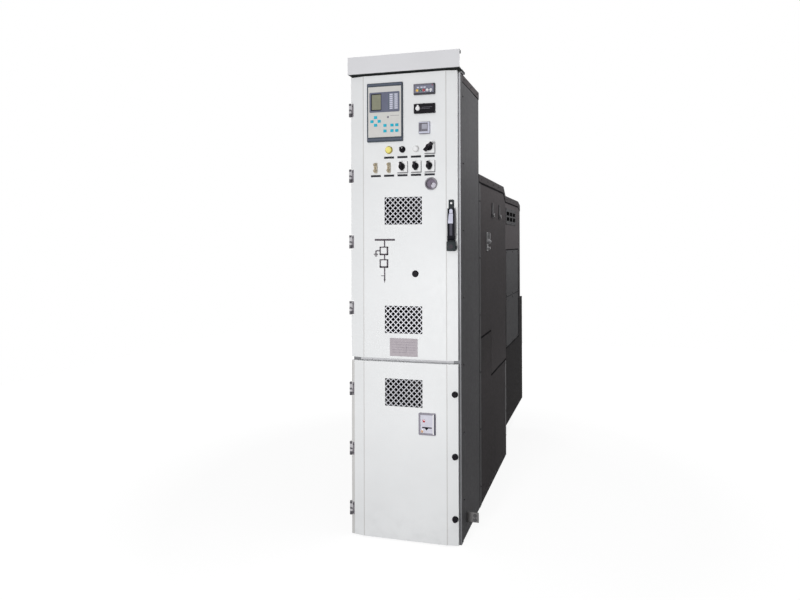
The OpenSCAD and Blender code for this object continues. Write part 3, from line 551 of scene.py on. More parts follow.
EDGES = {
    0.3: ("label_strips",),
    0.4: ("rating_plate",),
    0.5: ("side_covers", "bus_louvres"),
    0.8: ("cornice", "front_posts", "front_roof", "tank_lid", "bus_lid", "relay_screen", "relay_keys",
          "voltage_indicator", "control_unit", "humidity_controller", "earthing_plate", "test_links", "gas_valve",
          "lifting_lugs", "earth_bar", "hinge_bases", "upper_hinge_leaves", "lower_hinge_leaves"),
    1.0: ("switch_plates",),
    1.2: ("upper_door", "lower_door", "left_selector_handle", "middle_selector_handle", "right_selector_handle"),
    1.5: ("relay_case", "control_switch_handle", "handle_base"),
    2.0: ("handle_lever",),
}
for name, width in [(name, width) for width, names in EDGES.items() for name in names]:
    weld = NODE[name].modifiers.new("weld", "WELD")
    weld.merge_threshold = 0.01 * MM
    flat = NODE[name].modifiers.new("flat", "DECIMATE")
    flat.decimate_type = "DISSOLVE"
    flat.angle_limit = math.radians(0.5)
    soften(NODE[name], width, 30.0)


# Fixings on the body

SIDE_FACE, COVER_FACE, LIP_FACE, LOUVRE_FACE = 297, 299, 300, 301
# Screws on each side: the face they stand on, their places in y and in z, and their radius
SIDE_ROWS = (
    (COVER_FACE, (56,), [215 + i * 355.2 for i in range(7)], 5),
    (COVER_FACE, (466,), (120, 460, 800, 1140, 1480, 1820), 5),
    (COVER_FACE, (1379, 1658, 1932), (803, 1148, 1178, 1499), 5),
    (LOUVRE_FACE, (1377, 1595, 1813), (1718, 1822), 3.5),
    (LIP_FACE, (510, 700, 890, 1080, 1250), (1956,), 5),
    (LIP_FACE, (1400, 1570, 1740, 1910), (1896,), 4.5),
    (LIP_FACE, (80, 240, 400), (2441,), 5),
    (SIDE_FACE, (520, 720, 920, 1120, 1320), (32,), 5),
    (SIDE_FACE, (1336,), (150, 330, 510, 680), 5),
    (SIDE_FACE, (2152,), (260, 480, 700, 920, 1060), 5),
    (SIDE_FACE, (1500, 1800, 2080), (240,), 5),
)
bm = bmesh.new()
for side in (-1, 1):
    for face, ys, zs, r in SIDE_ROWS:
        for y in ys:
            for z in zs:
                pan_screw(bm, at(side * face, y, z), Vector((side, 0, 0)), r)
piece("side_screws", bm, SCREW_DARK, "cabinet")

BUS_BACK, BOX_BACK, ROOF_TOP = 2065, 2177, 2462.5
bm = bmesh.new()
for x in (-270, -90, 90, 270):
    for z in (1135, 1478, 1835):
        hex_bolt(bm, at(x, BUS_BACK, z), BACKWARD, 6)
    for z in (245, 660, 1070):
        hex_bolt(bm, at(x, BOX_BACK, z), BACKWARD, 6)
for x in (-240, 0, 240):
    hex_bolt(bm, at(x, 38, ROOF_TOP), UP, 6)
piece("rear_and_roof_bolts", bm, CAP_GREY, "cabinet")

# Dark strips under the lids, round the covers and along the tank's stepped seam: seals that also paint the shadow
# lines there; the wide strip at the back edge of the bus cover is painted shade alone
SIDE_STRIP_IN, SIDE_STRIP_OUT, LID_STRIP_OUT = 296.6, 298.2, 299.6
TANK_LID_SEAL_AND_SHADOW = [(447, 1925), (1268, 1925), (1351, 1866), (1351, 1875), (1270, 1934.6), (447, 1934.6)]
BUS_LID_SEAL_AND_SHADOW = [(1355, 1867), (1964, 1867), (2063, 1839), (2063, 1846.5), (1965, 1874.6), (1355, 1874.6)]
SEAL_AND_SHADOW_STRIPS = (
    (489, 798, 993.5, 1003.5), (800, 1351, 703, 713), (1366, 1945, 1512.4, 1521), (1366, 1945, 1161.3, 1164.7),
    (1366, 1945, 780, 789.6), (1945.4, 1984, 780, 1521),
)
bm = bmesh.new()
for side in (-1, 1):
    for outline in (TANK_LID_SEAL_AND_SHADOW, BUS_LID_SEAL_AND_SHADOW, box(43, 443, 2418.3, 2421.7)):
        side_slab(bm, outline, SIDE_STRIP_IN, LID_STRIP_OUT, side)
    for strip in SEAL_AND_SHADOW_STRIPS:
        side_slab(bm, box(*strip), SIDE_STRIP_IN, SIDE_STRIP_OUT, side)
piece("side_seals_and_shadow_lines", bm, SEAL_AND_SHADOW, "cabinet", smooth=False)

bm = bmesh.new()
for side in (-1, 1):
    side_slab(bm, box(1316, 1352, 150, 698), SIDE_STRIP_IN, 297.9, side)
piece("tank_corner_trim", bm, SCREW_DARK, "cabinet", smooth=False)

STUD_YS, STUD_Z, STUD_OUT = (853.6, 1098.8), 1751, 310.2
STUD_CAP = [(12.6, -6), (12.6, 0), (10.2, 2.9), (6.2, 2.9), (5.0, 0.6), (0, 0.6)]
bm = bmesh.new()
for side in (-1, 1):
    for y in STUD_YS:
        turned(bm, at(side * STUD_OUT, y, STUD_Z), Vector((side, 0, 0)), STUD_CAP, 24)
piece("stud_caps", bm, CAP_GREY, "cabinet")
RIGHT = Vector((1, 0, 0))
VALVE_Y = 680
bm = bmesh.new()
turned(bm, at(318, VALVE_Y, 1577), RIGHT, [(9, -6), (9, 1.0), (7.5, 2.2), (3, 2.4), (0, 1.2)], 24)
turned(bm, at(302, VALVE_Y, 1534), RIGHT, [(8, -0.3), (8, 4), (6.5, 5.5), (0, 5.5)], 24)
piece("valve_caps", bm, VALVE, "cabinet")

# Bolts in the end of the earth bar
BAR_FRONT = front_of("earth_bar")
BOLT_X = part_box("earth_bar")[1].x / MM - 20
bm = bmesh.new()
for z in (81, 104):
    hex_bolt(bm, at(BOLT_X, BAR_FRONT, z), FORWARD, 6.5)
piece("earth_bar_bolts", bm, SCREW_DARK, "cabinet")

# Dark trims beside the front posts
bm = bmesh.new()
for side in (-1, 1):
    side_slab(bm, box(0.6, 39.5, 8, 2455), 299.8, 300.5, side)
piece("post_trims", bm, FINISH["side_dark"], "cabinet", smooth=False)
# Painted shade round the cornice: a dark strip along its underside, a dark block in the hollow of its right end, a
# band on the frame in the gap above the door, and dark patches at its two ends
bm = bmesh.new()
slab(bm, oblong(0, 2470.9, 612, 1.0), -50, -2)
slab(bm, oblong(307, 2553, 7, 15), -50, -30)
slab(bm, oblong(0, 2465.6, 619, 10.6), -2.7, -1.9)
for side in (-1, 1):
    side_slab(bm, box(-2, 59.5, 2460.3, 2472), 309.9, 310.5, side)
piece("cornice_painted_shade", bm, EAVE_SHADE, "cabinet", smooth=False)

# Screws in the hinges' bases
UPPER_HINGES = (2288, 1932.3, 1576.7, 1221)
LOWER_HINGES = (786, 465, 144)
HINGE_X, HINGE_Y = -310, -17
SUNK_SCREW = [(4.6, -0.2), (4.6, 0.5), (3.6, 0.9), (1.6, 0.9), (1.4, 0.2), (0, 0.2)]
bm = bmesh.new()
for z in UPPER_HINGES + LOWER_HINGES:
    for dz in (-27, -10):
        turned(bm, at(-306, 22, z + dz), Vector((-1, 0, 0)), SUNK_SCREW, 18)
piece("hinge_screws", bm, FINISH["bright_steel"], "cabinet")

# Dark end caps and middle rings on the hinge knuckles
FOOT_SPANS, LEAF_SPANS = ((-35.6, -17), (-5, -0.6)), ((0.6, 4), (24, 35.6))
for name, body, rows, spans in (("hinge_foot_caps", "cabinet", UPPER_HINGES + LOWER_HINGES, FOOT_SPANS),
                                ("upper_hinge_caps", UPPER, UPPER_HINGES, LEAF_SPANS),
                                ("lower_hinge_caps", LOWER, LOWER_HINGES, LEAF_SPANS)):
    bm = bmesh.new()
    for z in rows:
        for low, high in spans:
            turned(bm, at(HINGE_X, HINGE_Y, z), UP, [(0, low), (8.5, low), (8.5, high), (0, high)], 24)
    piece(name, bm, FINISH["hinge_metal"], body)

# Hinge leaves lying on the doors' bevels, each with two screws
EDGE_X, EDGE_Y, EDGE_SLOPE = -305.6, -18.36, 11.7 / 76.0
LEAF_T = 1.6
LEAF_SCREW = [(4.8, -0.4), (4.8, 0.7), (3.4, 1.1), (0, 1.1)]


def on_bevel(near, far, out):
    """The outline, seen from above, of a layer on the left bevel between two distances from the door's edge."""
    corners = ((near, -out), (far, -out), (far, SINK), (near, SINK))
    return [(EDGE_X + u, EDGE_Y - u * EDGE_SLOPE + y) for u, y in corners]


for name, body, rows in (("upper_leaf", UPPER, UPPER_HINGES), ("lower_leaf", LOWER, LOWER_HINGES)):
    bm = bmesh.new()
    dots = bmesh.new()
    for z in rows:
        upright(bm, on_bevel(5.0, 15.0, LEAF_T), z - 34, z + 34)
        for dz in (-22, 22):
            turned(dots, at(EDGE_X + 10, EDGE_Y - 10 * EDGE_SLOPE - LEAF_T, z + dz), FORWARD, LEAF_SCREW, 18)
    piece(name + "_plates", bm, LEAF, body, smooth=False)
    piece(name + "_screws", dots, FINISH["hinge_metal"], body)

# Painted shade along the folds where the doors' side strips begin
for name, body, z0, z1 in (("upper_fold_lines", UPPER, 961, 2462), ("lower_fold_lines", LOWER, 8, 939)):
    bm = bmesh.new()
    for x in (-FOLD_X, FOLD_X):
        layer(bm, oblong(x, (z0 + z1) / 2, 5, z1 - z0), DOOR_FACE, 0.3)
    piece(name, bm, GREY_SHADE_AND_PRINT, body, smooth=False)

# Grey trim down the lower door's hinge edge
bm = bmesh.new()
upright(bm, on_bevel(0, 17, 0.4), 8, 939)
piece("lower_edge_trim", bm, GREY_SHADE_AND_PRINT, LOWER, smooth=False)

# Painted shade round the diamond holes of the vents: dark rings on the lattice's front
VENT_X, VENT_W, VENT_H = middle("lower_grille")[0], 208.0, 145.0
PITCH, BAR_W, HOLE_SHADE_W = 29.0, 7.0, 1.3
HOLE = PITCH / math.sqrt(2) - BAR_W
LATTICE_Y = front_of("lower_grille")
PLATE_EDGE = 6


def clipped(points, low, high):
    """The part of a polygon in x and z that lies between two corners."""
    for axis in (0, 1):
        for limit, sign in ((low[axis], 1), (high[axis], -1)):
            kept = []
            for one, two in zip(points, points[1:] + points[:1]):
                a, b = (one[axis] - limit) * sign, (two[axis] - limit) * sign
                if a >= 0:
                    kept.append(one)
                if (a >= 0) != (b >= 0):
                    t = a / (a - b)
                    kept.append(tuple(p + (q - p) * t for p, q in zip(one, two)))
            points = kept
    return points


def paint_vent_hole_shade(bm, cz):
    """The painted shade round all holes in a vent at a height, cut off at the window's edge."""
    low, high = (VENT_X - VENT_W / 2, cz - VENT_H / 2), (VENT_X + VENT_W / 2, cz + VENT_H / 2)
    inner, outer = HOLE / math.sqrt(2), (HOLE + 2 * HOLE_SHADE_W) / math.sqrt(2)
    turns = [(1, 0), (0, 1), (-1, 0), (0, -1)]
    for i in range(-8, 9):
        for j in range(-6, 7):
            if (i + j) % 2:
                continue
            x, z = VENT_X + i * PITCH / 2, cz + j * PITCH / 2
            for (u, v), (p, q) in zip(turns, turns[1:] + turns[:1]):
                quad = [(x + u * inner, z + v * inner), (x + u * outer, z + v * outer),
                        (x + p * outer, z + q * outer), (x + p * inner, z + q * inner)]
                quad = clipped(quad, low, high)
                if len(quad) > 2:
                    layer(bm, quad, LATTICE_Y, 0.3)


LOW_VENT = middle("lower_grille")[1]
UPPER_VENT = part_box("upper_grilles")[1].z / MM - PLATE_EDGE - VENT_H / 2
MIDDLE_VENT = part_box("upper_grilles")[0].z / MM + PLATE_EDGE + VENT_H / 2
bm = bmesh.new()
paint_vent_hole_shade(bm, UPPER_VENT)
paint_vent_hole_shade(bm, MIDDLE_VENT)
piece("upper_vent_hole_shade", bm, VENT_HOLE_SHADE, UPPER, smooth=False)
bm = bmesh.new()
paint_vent_hole_shade(bm, LOW_VENT)
piece("lower_vent_hole_shade", bm, VENT_HOLE_SHADE, LOWER, smooth=False)


# Single-line diagram printed on the upper door

PRINT_T = 0.5
MIMIC_X = -110.3
bm = bmesh.new()


def line(x0, x1, z0, z1):
    """A printed line with softened corners."""
    w, h = x1 - x0, z1 - z0
    layer(bm, oblong((x0 + x1) / 2, (z0 + z1) / 2, w, h, min(1.5, h / 3, w / 3)), DOOR_FACE, PRINT_T)


line(-166, -52, 1582, 1592)
for z0, z1 in ((1549, 1583), (1482, 1507), (1374, 1440)):
    line(MIMIC_X - 3.5, MIMIC_X + 3.5, z0, z1)
for top in (1551, 1484):
    line(-139, -132, top - 46, top)
    line(-99, -89.5, top - 46, top)
    line(-139, -89.5, top - 6, top)
    line(-139, -89.5, top - 46, top - 37)
line(-158, -138, 1526, 1532)
line(-163, -156, 1511, 1530)
line(-172, -147, 1508, 1513)
line(-167, -152, 1502, 1506)
line(-163, -156, 1496, 1500)
line(-131, -113, 1394, 1397.5)
layer(bm, [(MIMIC_X - 5.5, 1378), (MIMIC_X, 1357), (MIMIC_X + 5.5, 1378)], DOOR_FACE, PRINT_T)
piece("single_line_diagram", bm, PRINT, UPPER, smooth=False)


# Protection relay: window, label cards, lamps, key marks, stripes and screws

RELAY_X, RELAY_Z = middle("relay_case")
SCREEN_FACE, FACE, KEY_FACE = front_of("relay_screen"), front_of("relay_face"), front_of("relay_keys")
LCD_X, LCD_Z, LCD_W, LCD_H = RELAY_X - 44.5, RELAY_Z + 54, 51, 80

bm = bmesh.new()
layer(bm, oblong(LCD_X, LCD_Z, LCD_W, LCD_H, 1.5), SCREEN_FACE, 0.5, 0.3)
piece("relay_lcd", bm, LCD, UPPER, 0.2)

bm = bmesh.new()
for dx, dz, w, h in ((-LCD_W / 2 - 2, 0, 4, LCD_H + 8), (LCD_W / 2 + 1, 0, 2, LCD_H + 8),
                     (-1, LCD_H / 2 + 2, LCD_W + 6, 4), (-1, -LCD_H / 2 - 2, LCD_W + 6, 4)):
    layer(bm, oblong(LCD_X + dx, LCD_Z + dz, w, h, 0.8), SCREEN_FACE, 1.4, 0.3)
piece("relay_lcd_surround", bm, FINISH["black_plastic"], UPPER, 0.3)

bm = bmesh.new()
layer(bm, oblong(RELAY_X + 54, RELAY_Z + 54.6, 47, 84, 1.0), SCREEN_FACE, 0.2)
piece("relay_card_holder", bm, CARD_GREY, UPPER)
CARD_ROWS = [RELAY_Z + 18.2 + 10.4 * row for row in range(8)]
bm = bmesh.new()
for x in (38.2, 66):
    for z in CARD_ROWS:
        layer(bm, oblong(RELAY_X + x, z, 17, 6.0, 1.0), SCREEN_FACE, 0.45)
piece("relay_label_cards", bm, CARD, UPPER)

bm = bmesh.new()
for z in CARD_ROWS:
    for x in (25.5, 53):
        turned(bm, at(RELAY_X + x, SCREEN_FACE, z), FORWARD, [(1.9, -0.2), (1.9, 0.5), (1.2, 1.0), (0, 1.2)], 14)
piece("relay_lamps", bm, GREEN, UPPER)

# Arrows on the four cross keys and plain bars on the others
PAD_X, PAD_Z, PAD_REACH = RELAY_X - 50.5, RELAY_Z - 47, 20.5
ARROW = [(PAD_REACH + 4.0, 0.0), (PAD_REACH - 2.6, 3.6), (PAD_REACH - 2.6, -3.6)]
bm = bmesh.new()
for quarter in range(4):
    layer(bm, spoke(PAD_X, PAD_Z, 90 * quarter, ARROW), KEY_FACE, 0.25)
for x in (2.5, 42, 69):
    for z in (-70.5, -100):
        layer(bm, oblong(RELAY_X + x, RELAY_Z + z, 7, 1.6, 0.5), KEY_FACE, 0.25)
piece("relay_key_marks", bm, KEY_MARK, UPPER)

PORT = [(5.5, -0.2), (5.5, 1.0), (4.6, 1.6), (2.6, 1.6), (2.4, 0.6), (0, 0.6)]
bm = bmesh.new()
turned(bm, at(RELAY_X + 19.4, FACE, RELAY_Z - 27), FORWARD, PORT, 24)
layer(bm, oblong(RELAY_X + 56, RELAY_Z - 20, 52, 1.6, 0.4), FACE, 0.2)
piece("relay_service_port", bm, FINISH["meter_grey"], UPPER)

bm = bmesh.new()
for z in (-144, 147):
    layer(bm, oblong(RELAY_X, RELAY_Z + z, 186, 9, 2.0), FACE, 0.25)
piece("relay_stripes", bm, STRIPE, UPPER)
bm = bmesh.new()
for x in (-91, 91):
    for z in (-144, 146.5):
        pan_screw(bm, at(RELAY_X + x, FACE, RELAY_Z + z), FORWARD, 3)
piece("relay_screws", bm, FINISH["screen_slate"], UPPER)


# Instruments beside the relay

LAMP_X, LAMP_Z = middle("voltage_indicator")
LAMP_RIM = front_of("voltage_indicator")
LAMP_FACE = LAMP_RIM + 2.0
bm = bmesh.new()
layer(bm, oblong(LAMP_X, LAMP_Z + 2, 103, 41, 1.0), LAMP_FACE, 0.6, 0.3)
piece("indicator_window", bm, PANEL_GREY, UPPER, 0.3)
bm = bmesh.new()
for dx, dz, w, h in ((-54.6, 3, 6.0, 48), (-4, 25.4, 107, 4.4)):
    layer(bm, oblong(LAMP_X + dx, LAMP_Z + dz, w, h, 1.0), LAMP_RIM, 0.3)
piece("indicator_frame", bm, FINISH["meter_grey"], UPPER)
LAMPS = (("amber", -37.8, AMBER), ("green", -20.5, GREEN), ("red", -2.5, RED), ("clear_a", 17.4, MILK),
         ("clear_b", 36.7, MILK))
LAMP_CAP = [(7.4, -0.2), (7.4, 1.2), (6.4, 1.6), (5.6, 3.4), (3.4, 4.8), (0, 5.3)]
ALARM_CAP = [(2.6, -0.2), (2.6, 0.8), (1.6, 1.5), (0, 1.7)]
for name, x, material in LAMPS:
    bm = bmesh.new()
    turned(bm, at(LAMP_X + x, LAMP_FACE - 0.5, LAMP_Z - 6), FORWARD, LAMP_CAP, 24)
    piece("indicator_lamp_" + name, bm, material, UPPER)
bm = bmesh.new()
for x in (-33.5, -13.5, 2.5):
    layer(bm, oblong(LAMP_X + x, LAMP_Z + 9.5, 12, 7, 1.0), LAMP_FACE, 0.9, 0)
piece("indicator_fields", bm, CARD, UPPER)
bm = bmesh.new()
turned(bm, at(LAMP_X + 45.2, LAMP_FACE - 0.5, LAMP_Z + 18.5), FORWARD, ALARM_CAP, 18)
piece("indicator_alarm_lamp", bm, RED, UPPER)

UNIT_X, UNIT_Z = middle("control_unit")
UNIT_FACE = front_of("control_unit") + 8.0
KNOB_X = UNIT_X - 34
KNOB = [(12.2, -0.2), (12.2, 1), (11.2, 7), (10.8, 8.6), (9.6, 9.4), (4.0, 9.4), (3.4, 8.4), (0, 8.4)]
KNOB_NOSE = ((-8, 8), (8, 8), (2.5, 18), (-2.5, 18))
bm = bmesh.new()
turned(bm, at(KNOB_X, UNIT_FACE, UNIT_Z), FORWARD, KNOB, 36)
layer(bm, [(KNOB_X + u, UNIT_Z + v) for u, v in KNOB_NOSE], UNIT_FACE, 4.6)
piece("control_unit_knob", bm, FINISH["white_plastic"], UPPER, 0.3)
bm = bmesh.new()
for dz, w in ((6, 59), (-1, 46)):
    layer(bm, oblong(UNIT_X - 15 + w / 2, UNIT_Z + dz, w, 1.6, 0.5), UNIT_FACE, 0.25)
piece("control_unit_lines", bm, FINISH["meter_grey"], UPPER)

METER_X, METER_Z = middle("humidity_controller")
METER_FACE = front_of("humidity_controller")
bm = bmesh.new()
slab(bm, oblong(METER_X + 2.5, METER_Z + 6.5, 28, 26, 1.5), METER_FACE + 1.4, METER_FACE + 3.2)
piece("humidity_screen", bm, SCREEN_GREY, UPPER, 0.3)
bm = bmesh.new()
for dx, dz, w, h in ((24.5, 0, 7, 60), (-3, -24, 47, 9), (-3, 28, 47, 4)):
    layer(bm, oblong(METER_X + dx, METER_Z + dz, w, h, 1.0), METER_FACE, 0.8)
for x in (-20, -8.5, 3, 14.5):
    layer(bm, oblong(METER_X + x, METER_Z - 24, 8.5, 4.6, 1.5), METER_FACE, 1.8, 0)
slab(bm, oblong(METER_X + 29.2, METER_Z, 1.0, 60), METER_FACE + 0.5, DOOR_FACE - 0.3)
piece("humidity_bezel", bm, CARD, UPPER, 0.3)


# Painted shadow of the switch plates: grey rims under them, set off to show at the right and below

COLUMNS = [-158.5 + 75 * i for i in range(5)]
ROW_1, ROW_2, BUTTON_ROW = 2068, 1972, 2063
SWITCHES = (("control_switch", COLUMNS[4], ROW_1), ("left_selector", COLUMNS[2], ROW_2),
            ("middle_selector", COLUMNS[3], ROW_2), ("right_selector", COLUMNS[4], ROW_2))
bm = bmesh.new()
for _, x, z in SWITCHES:
    layer(bm, oblong(x + 1.7, z - 3.4, 58, 63, 2.5), DOOR_FACE, 3.0)
piece("switch_plate_shadows", bm, PLATE_SHADOW_GREY, UPPER)

# Stop marks around each handle
PLATE_FACE = front_of("switch_plates")
bm = bmesh.new()
for _, x, z in SWITCHES:
    for stop in (-45, 0, 45):
        layer(bm, spoke(x, z, 90 - stop, box(20, 25, -0.9, 0.9)), PLATE_FACE, 0.25)
piece("switch_stop_marks", bm, GREY_SHADE_AND_PRINT, UPPER, smooth=False)

# Painted light along the lit face of each grip
for name, x, z in SWITCHES:
    length, turn = (22, -45) if name == "control_switch" else (17, 11)
    bm = bmesh.new()
    layer(bm, spoke(x, z, 90 + turn, box(3, length, -2.4, 2.4)), front_of(name + "_handle"), 0.25)
    piece(name + "_line", bm, GRIP, name, smooth=False)

# Collars of the two push buttons, in tints darker than the buttons that paint the shade on their side walls
for name, column, r, head, material, slot in (("yellow", 1, 20.2, 17.1, YELLOW_COLLAR_SHADE, "yellow_lens"),
                                              ("white", 3, 17.2, 14.1, GREY_SHADE_AND_PRINT, "white_plastic")):
    outline = [(r, 0.1), (r, 5.1), (r - 1, 6.2), (head, 6.2), (head, 5.6), (r - 2, 0.1)]
    bm = bmesh.new()
    turned(bm, at(COLUMNS[column], DOOR_FACE, BUTTON_ROW), FORWARD, outline, 40)
    piece(name + "_button_collar", bm, material, UPPER)

# The mark on the small black knob
KNOB_MARK = ((7.0, 9.0), (9.0, 7.0), (4.0, 2.0), (2.0, 4.0))
bm = bmesh.new()
layer(bm, [(COLUMNS[2] + u, BUTTON_ROW + v) for u, v in KNOB_MARK], front_of("black_knob"), 0.4)
piece("black_knob_mark", bm, FINISH["white_plastic"], UPPER, smooth=False)

# Studs of the test links
LINK_FRONT, BRIDGE_FRONT = -52, -38
LINK_STUD = [(6.6, -14), (6.6, -0.4), (5.6, 0.6), (2.6, 0.6), (2.4, -2), (0, -2)]
bm = bmesh.new()
for x in COLUMNS[:2]:
    for z in (1953, 1985):
        turned(bm, at(x, LINK_FRONT, z), FORWARD, LINK_STUD, 24)
    turned(bm, at(x, BRIDGE_FRONT, 1969), FORWARD, [(4.6, -0.2), (4.6, 1.4), (3.6, 2.0), (0, 2.0)], 20)
piece("test_link_studs", bm, BRASS, UPPER)


# Gas gauge: dial, a pale patch of painted light towards the lower right with painted shade along its upper-left edge,
# ticks and pointer under the rim

GAUGE_X, GAUGE_Z = middle("gas_gauge")
DIAL_Y, DIAL_R, TICK_R = -24.0, 24.0, 18
LIT_PATCH_X, LIT_PATCH_Z, LIT_PATCH_R, SHADE_EDGE_R = 10.5, -7.5, 13.5, 16.5


def dial_point(angle, radius):
    """A point around the centre of the painted light patch, kept on the dial."""
    u, v = LIT_PATCH_X + radius * math.cos(angle), LIT_PATCH_Z + radius * math.sin(angle)
    keep = min(1.0, DIAL_R / math.hypot(u, v))
    return GAUGE_X + u * keep, GAUGE_Z + v * keep


DIAL_PLATE = [(24.6, -0.2), (24.6, 0.6), (19.0, 0.8), (18.4, 0.4), (0, 0.4)]
bm = bmesh.new()
turned(bm, at(GAUGE_X, DIAL_Y, GAUGE_Z), FORWARD, DIAL_PLATE, 40)
piece("gauge_dial", bm, DIAL, UPPER)
# A pale patch of painted light on the dial, set off towards the lower right
bm = bmesh.new()
slab(bm, [dial_point(math.radians(10 * i), LIT_PATCH_R) for i in range(36)], DIAL_Y - 1.0, DIAL_Y - 0.2)
piece("gauge_painted_light", bm, DIAL_PAINTED_LIGHT, UPPER)
bm = bmesh.new()
# Painted shade along the upper-left edge of the lit patch
SHADE_EDGE_ANGLES = [math.radians(95 + 10 * i) for i in range(14)]
for a, b in zip(SHADE_EDGE_ANGLES, SHADE_EDGE_ANGLES[1:]):
    corners = ((a, LIT_PATCH_R), (a, SHADE_EDGE_R), (b, SHADE_EDGE_R), (b, LIT_PATCH_R))
    slab(bm, [dial_point(*corner) for corner in corners], DIAL_Y - 1.1, DIAL_Y - 0.2)
for i in range(11):
    inner = 14.5 if i % 5 == 0 else 16.0
    slab(bm, spoke(GAUGE_X, GAUGE_Z, 225 - 27 * i, box(inner, TICK_R, -0.5, 0.5)), DIAL_Y - 1.2, DIAL_Y - 0.2)
POINTER = ((-6, -1.4), (16, -0.4), (16, 0.4), (-6, 1.4))
slab(bm, spoke(GAUGE_X, GAUGE_Z, 120, POINTER), DIAL_Y - 2.6, DIAL_Y - 1.8)
turned(bm, at(GAUGE_X, DIAL_Y, GAUGE_Z), FORWARD, [(3.2, 0), (3.2, 3.0), (2.2, 3.8), (0, 3.8)], 20)
piece("gauge_pointer", bm, PRINT, UPPER)


# Rating plate: blank fields and rivets

RATING_X, RATING_Z = middle("rating_plate")
RATING_FACE = -31.5
RIVET = [(2.6, -0.2), (2.6, 0.3), (1.8, 1.0), (0, 1.3)]
bm = bmesh.new()
for i in range(5):
    layer(bm, oblong(RATING_X, RATING_Z - 27 + i * 13.5, 132, 0.9, 0.2), RATING_FACE, 0.25)
layer(bm, oblong(RATING_X + 15, RATING_Z, 0.9, 54, 0.2), RATING_FACE, 0.25)
piece("rating_plate_lines", bm, DIAL, UPPER, smooth=False)
bm = bmesh.new()
for x in (-71, 71):
    for z in (-42, 42):
        turned(bm, at(RATING_X + x, RATING_FACE, RATING_Z + z), FORWARD, RIVET, 16)
piece("rating_plate_rivets", bm, FINISH["plate_grey"], UPPER)


# Swing handle: lock cylinder in the base, a screw above, painted sheen on the lever, a cap on the pivot, and a dark
# plate that paints the lever's shadow

LOCK_Z, TOP_SCREW_Z, PIVOT_Z = 1550, 1775, 1735
LOCK = [(10.5, -0.2), (10.5, 1.2), (9.4, 2.0), (7.6, 2.0), (7.2, 1.2), (1.4, 1.2), (1.2, -0.1), (0, -0.1)]
TOP_SCREW = [(5.5, -0.2), (5.5, 1.4), (4.4, 2.2), (1.8, 2.2), (1.6, 1.0), (0, 1.0)]
bm = bmesh.new()
turned(bm, on_strip(0, 26, LOCK_Z), STRIP_OUT, LOCK, 32)
piece("handle_lock_cylinder", bm, GRIP, UPPER)
bm = bmesh.new()
turned(bm, on_strip(0, 5, TOP_SCREW_Z), STRIP_OUT, TOP_SCREW, 24)
piece("handle_top_screw", bm, FINISH["white_plastic"], UPPER)

LEVER_LOW, LEVER_KNEE, LEVER_HIGH = 1583.0, 1679.0, 1747.0
LEVER_OUT, LEVER_FALL = 32.0, 11.0


def lever_face(z):
    """How far the lever's front stands out of the strip at a height."""
    if z <= LEVER_KNEE:
        return LEVER_OUT
    return LEVER_OUT - LEVER_FALL * (z - LEVER_KNEE) / (LEVER_HIGH - LEVER_KNEE)


def lever_sheen_layer(bm, left, right, z0, z1, lean=0.0):
    """A thin layer of painted sheen on the lever's front, its left edge leaning in by some way at the top."""
    outline = [(left, z0), (right, z0), (right, z1), (left + lean, z1)]
    prism(bm, *([on_strip(u, lever_face(z) + out, z) for u, z in outline] for out in (-0.3, 0.4)))


# Painted sheen on the black lever: a slate layer low down and a pale layer on the slope
bm = bmesh.new()
lever_sheen_layer(bm, -6, 8, LEVER_LOW + 24, LEVER_KNEE - 12)
piece("lever_lower_painted_sheen", bm, LEVER_LOWER_SHEEN, "handle_lever", smooth=False)
bm = bmesh.new()
lever_sheen_layer(bm, -14, 11, LEVER_KNEE - 10, LEVER_KNEE)
lever_sheen_layer(bm, -14, 11, LEVER_KNEE, LEVER_HIGH - 27, 4.0)
piece("lever_upper_painted_sheen", bm, PALE_SHEEN_AND_CAP, "handle_lever", smooth=False)
bm = bmesh.new()
turned(bm, on_strip(0, 20, PIVOT_Z), STRIP_OUT, [(8.9, -0.6), (8.9, 0.2), (8.2, 0.7), (0, 0.7)], 28)
strip_slab(bm, box(-8.6, 8.6, 1721.6, 1736), 15.0, 20.5)
piece("handle_pivot_cap", bm, PALE_SHEEN_AND_CAP, "handle_pivot")
# A dark plate behind the lever's foot: painted shadow on the strip
bm = bmesh.new()
strip_slab(bm, box(-22, 20, 1566, 1606), -SINK, 4.5)
piece("handle_painted_shadow", bm, DEEP, UPPER, smooth=False)


# Earthing plate: face round the slot, edge bands, slide and sign marks

EARTH_X, EARTH_Z = middle("earthing_plate")
EARTH_RIM = front_of("earthing_plate")
EARTH_FACE = EARTH_RIM + 4.0
SLOT_ROUND = ((-36.6, -27.6, -47, 47), (25.6, 32.6, -47, 47), (-27.6, 25.6, -15.6, 47), (-27.6, 25.6, -47, -22.4))
bm = bmesh.new()
for x0, x1, z0, z1 in SLOT_ROUND:
    layer(bm, box(EARTH_X + x0, EARTH_X + x1, EARTH_Z + z0, EARTH_Z + z1), EARTH_FACE, 0.4)
piece("earthing_face", bm, EARTHING_FACE, LOWER, smooth=False)
bm = bmesh.new()
layer(bm, oblong(EARTH_X + 41.8, EARTH_Z, 7.6, 106, 2.0), EARTH_RIM, 0.3)
piece("earthing_band", bm, BAND, LOWER, smooth=False)
bm = bmesh.new()
layer(bm, oblong(EARTH_X + 34.8, EARTH_Z, 6.2, 104, 1.0), EARTH_RIM, 0.3)
piece("earthing_edge_line", bm, FINISH["white_plastic"], LOWER, smooth=False)
SLIDE_TIP = ((-3, -33), (8, -20), (-14, -20))
bm = bmesh.new()
slab(bm, oblong(EARTH_X - 1, EARTH_Z - 19, 51, 5.6), EARTH_FACE + 0.4, EARTH_FACE + 3.0)
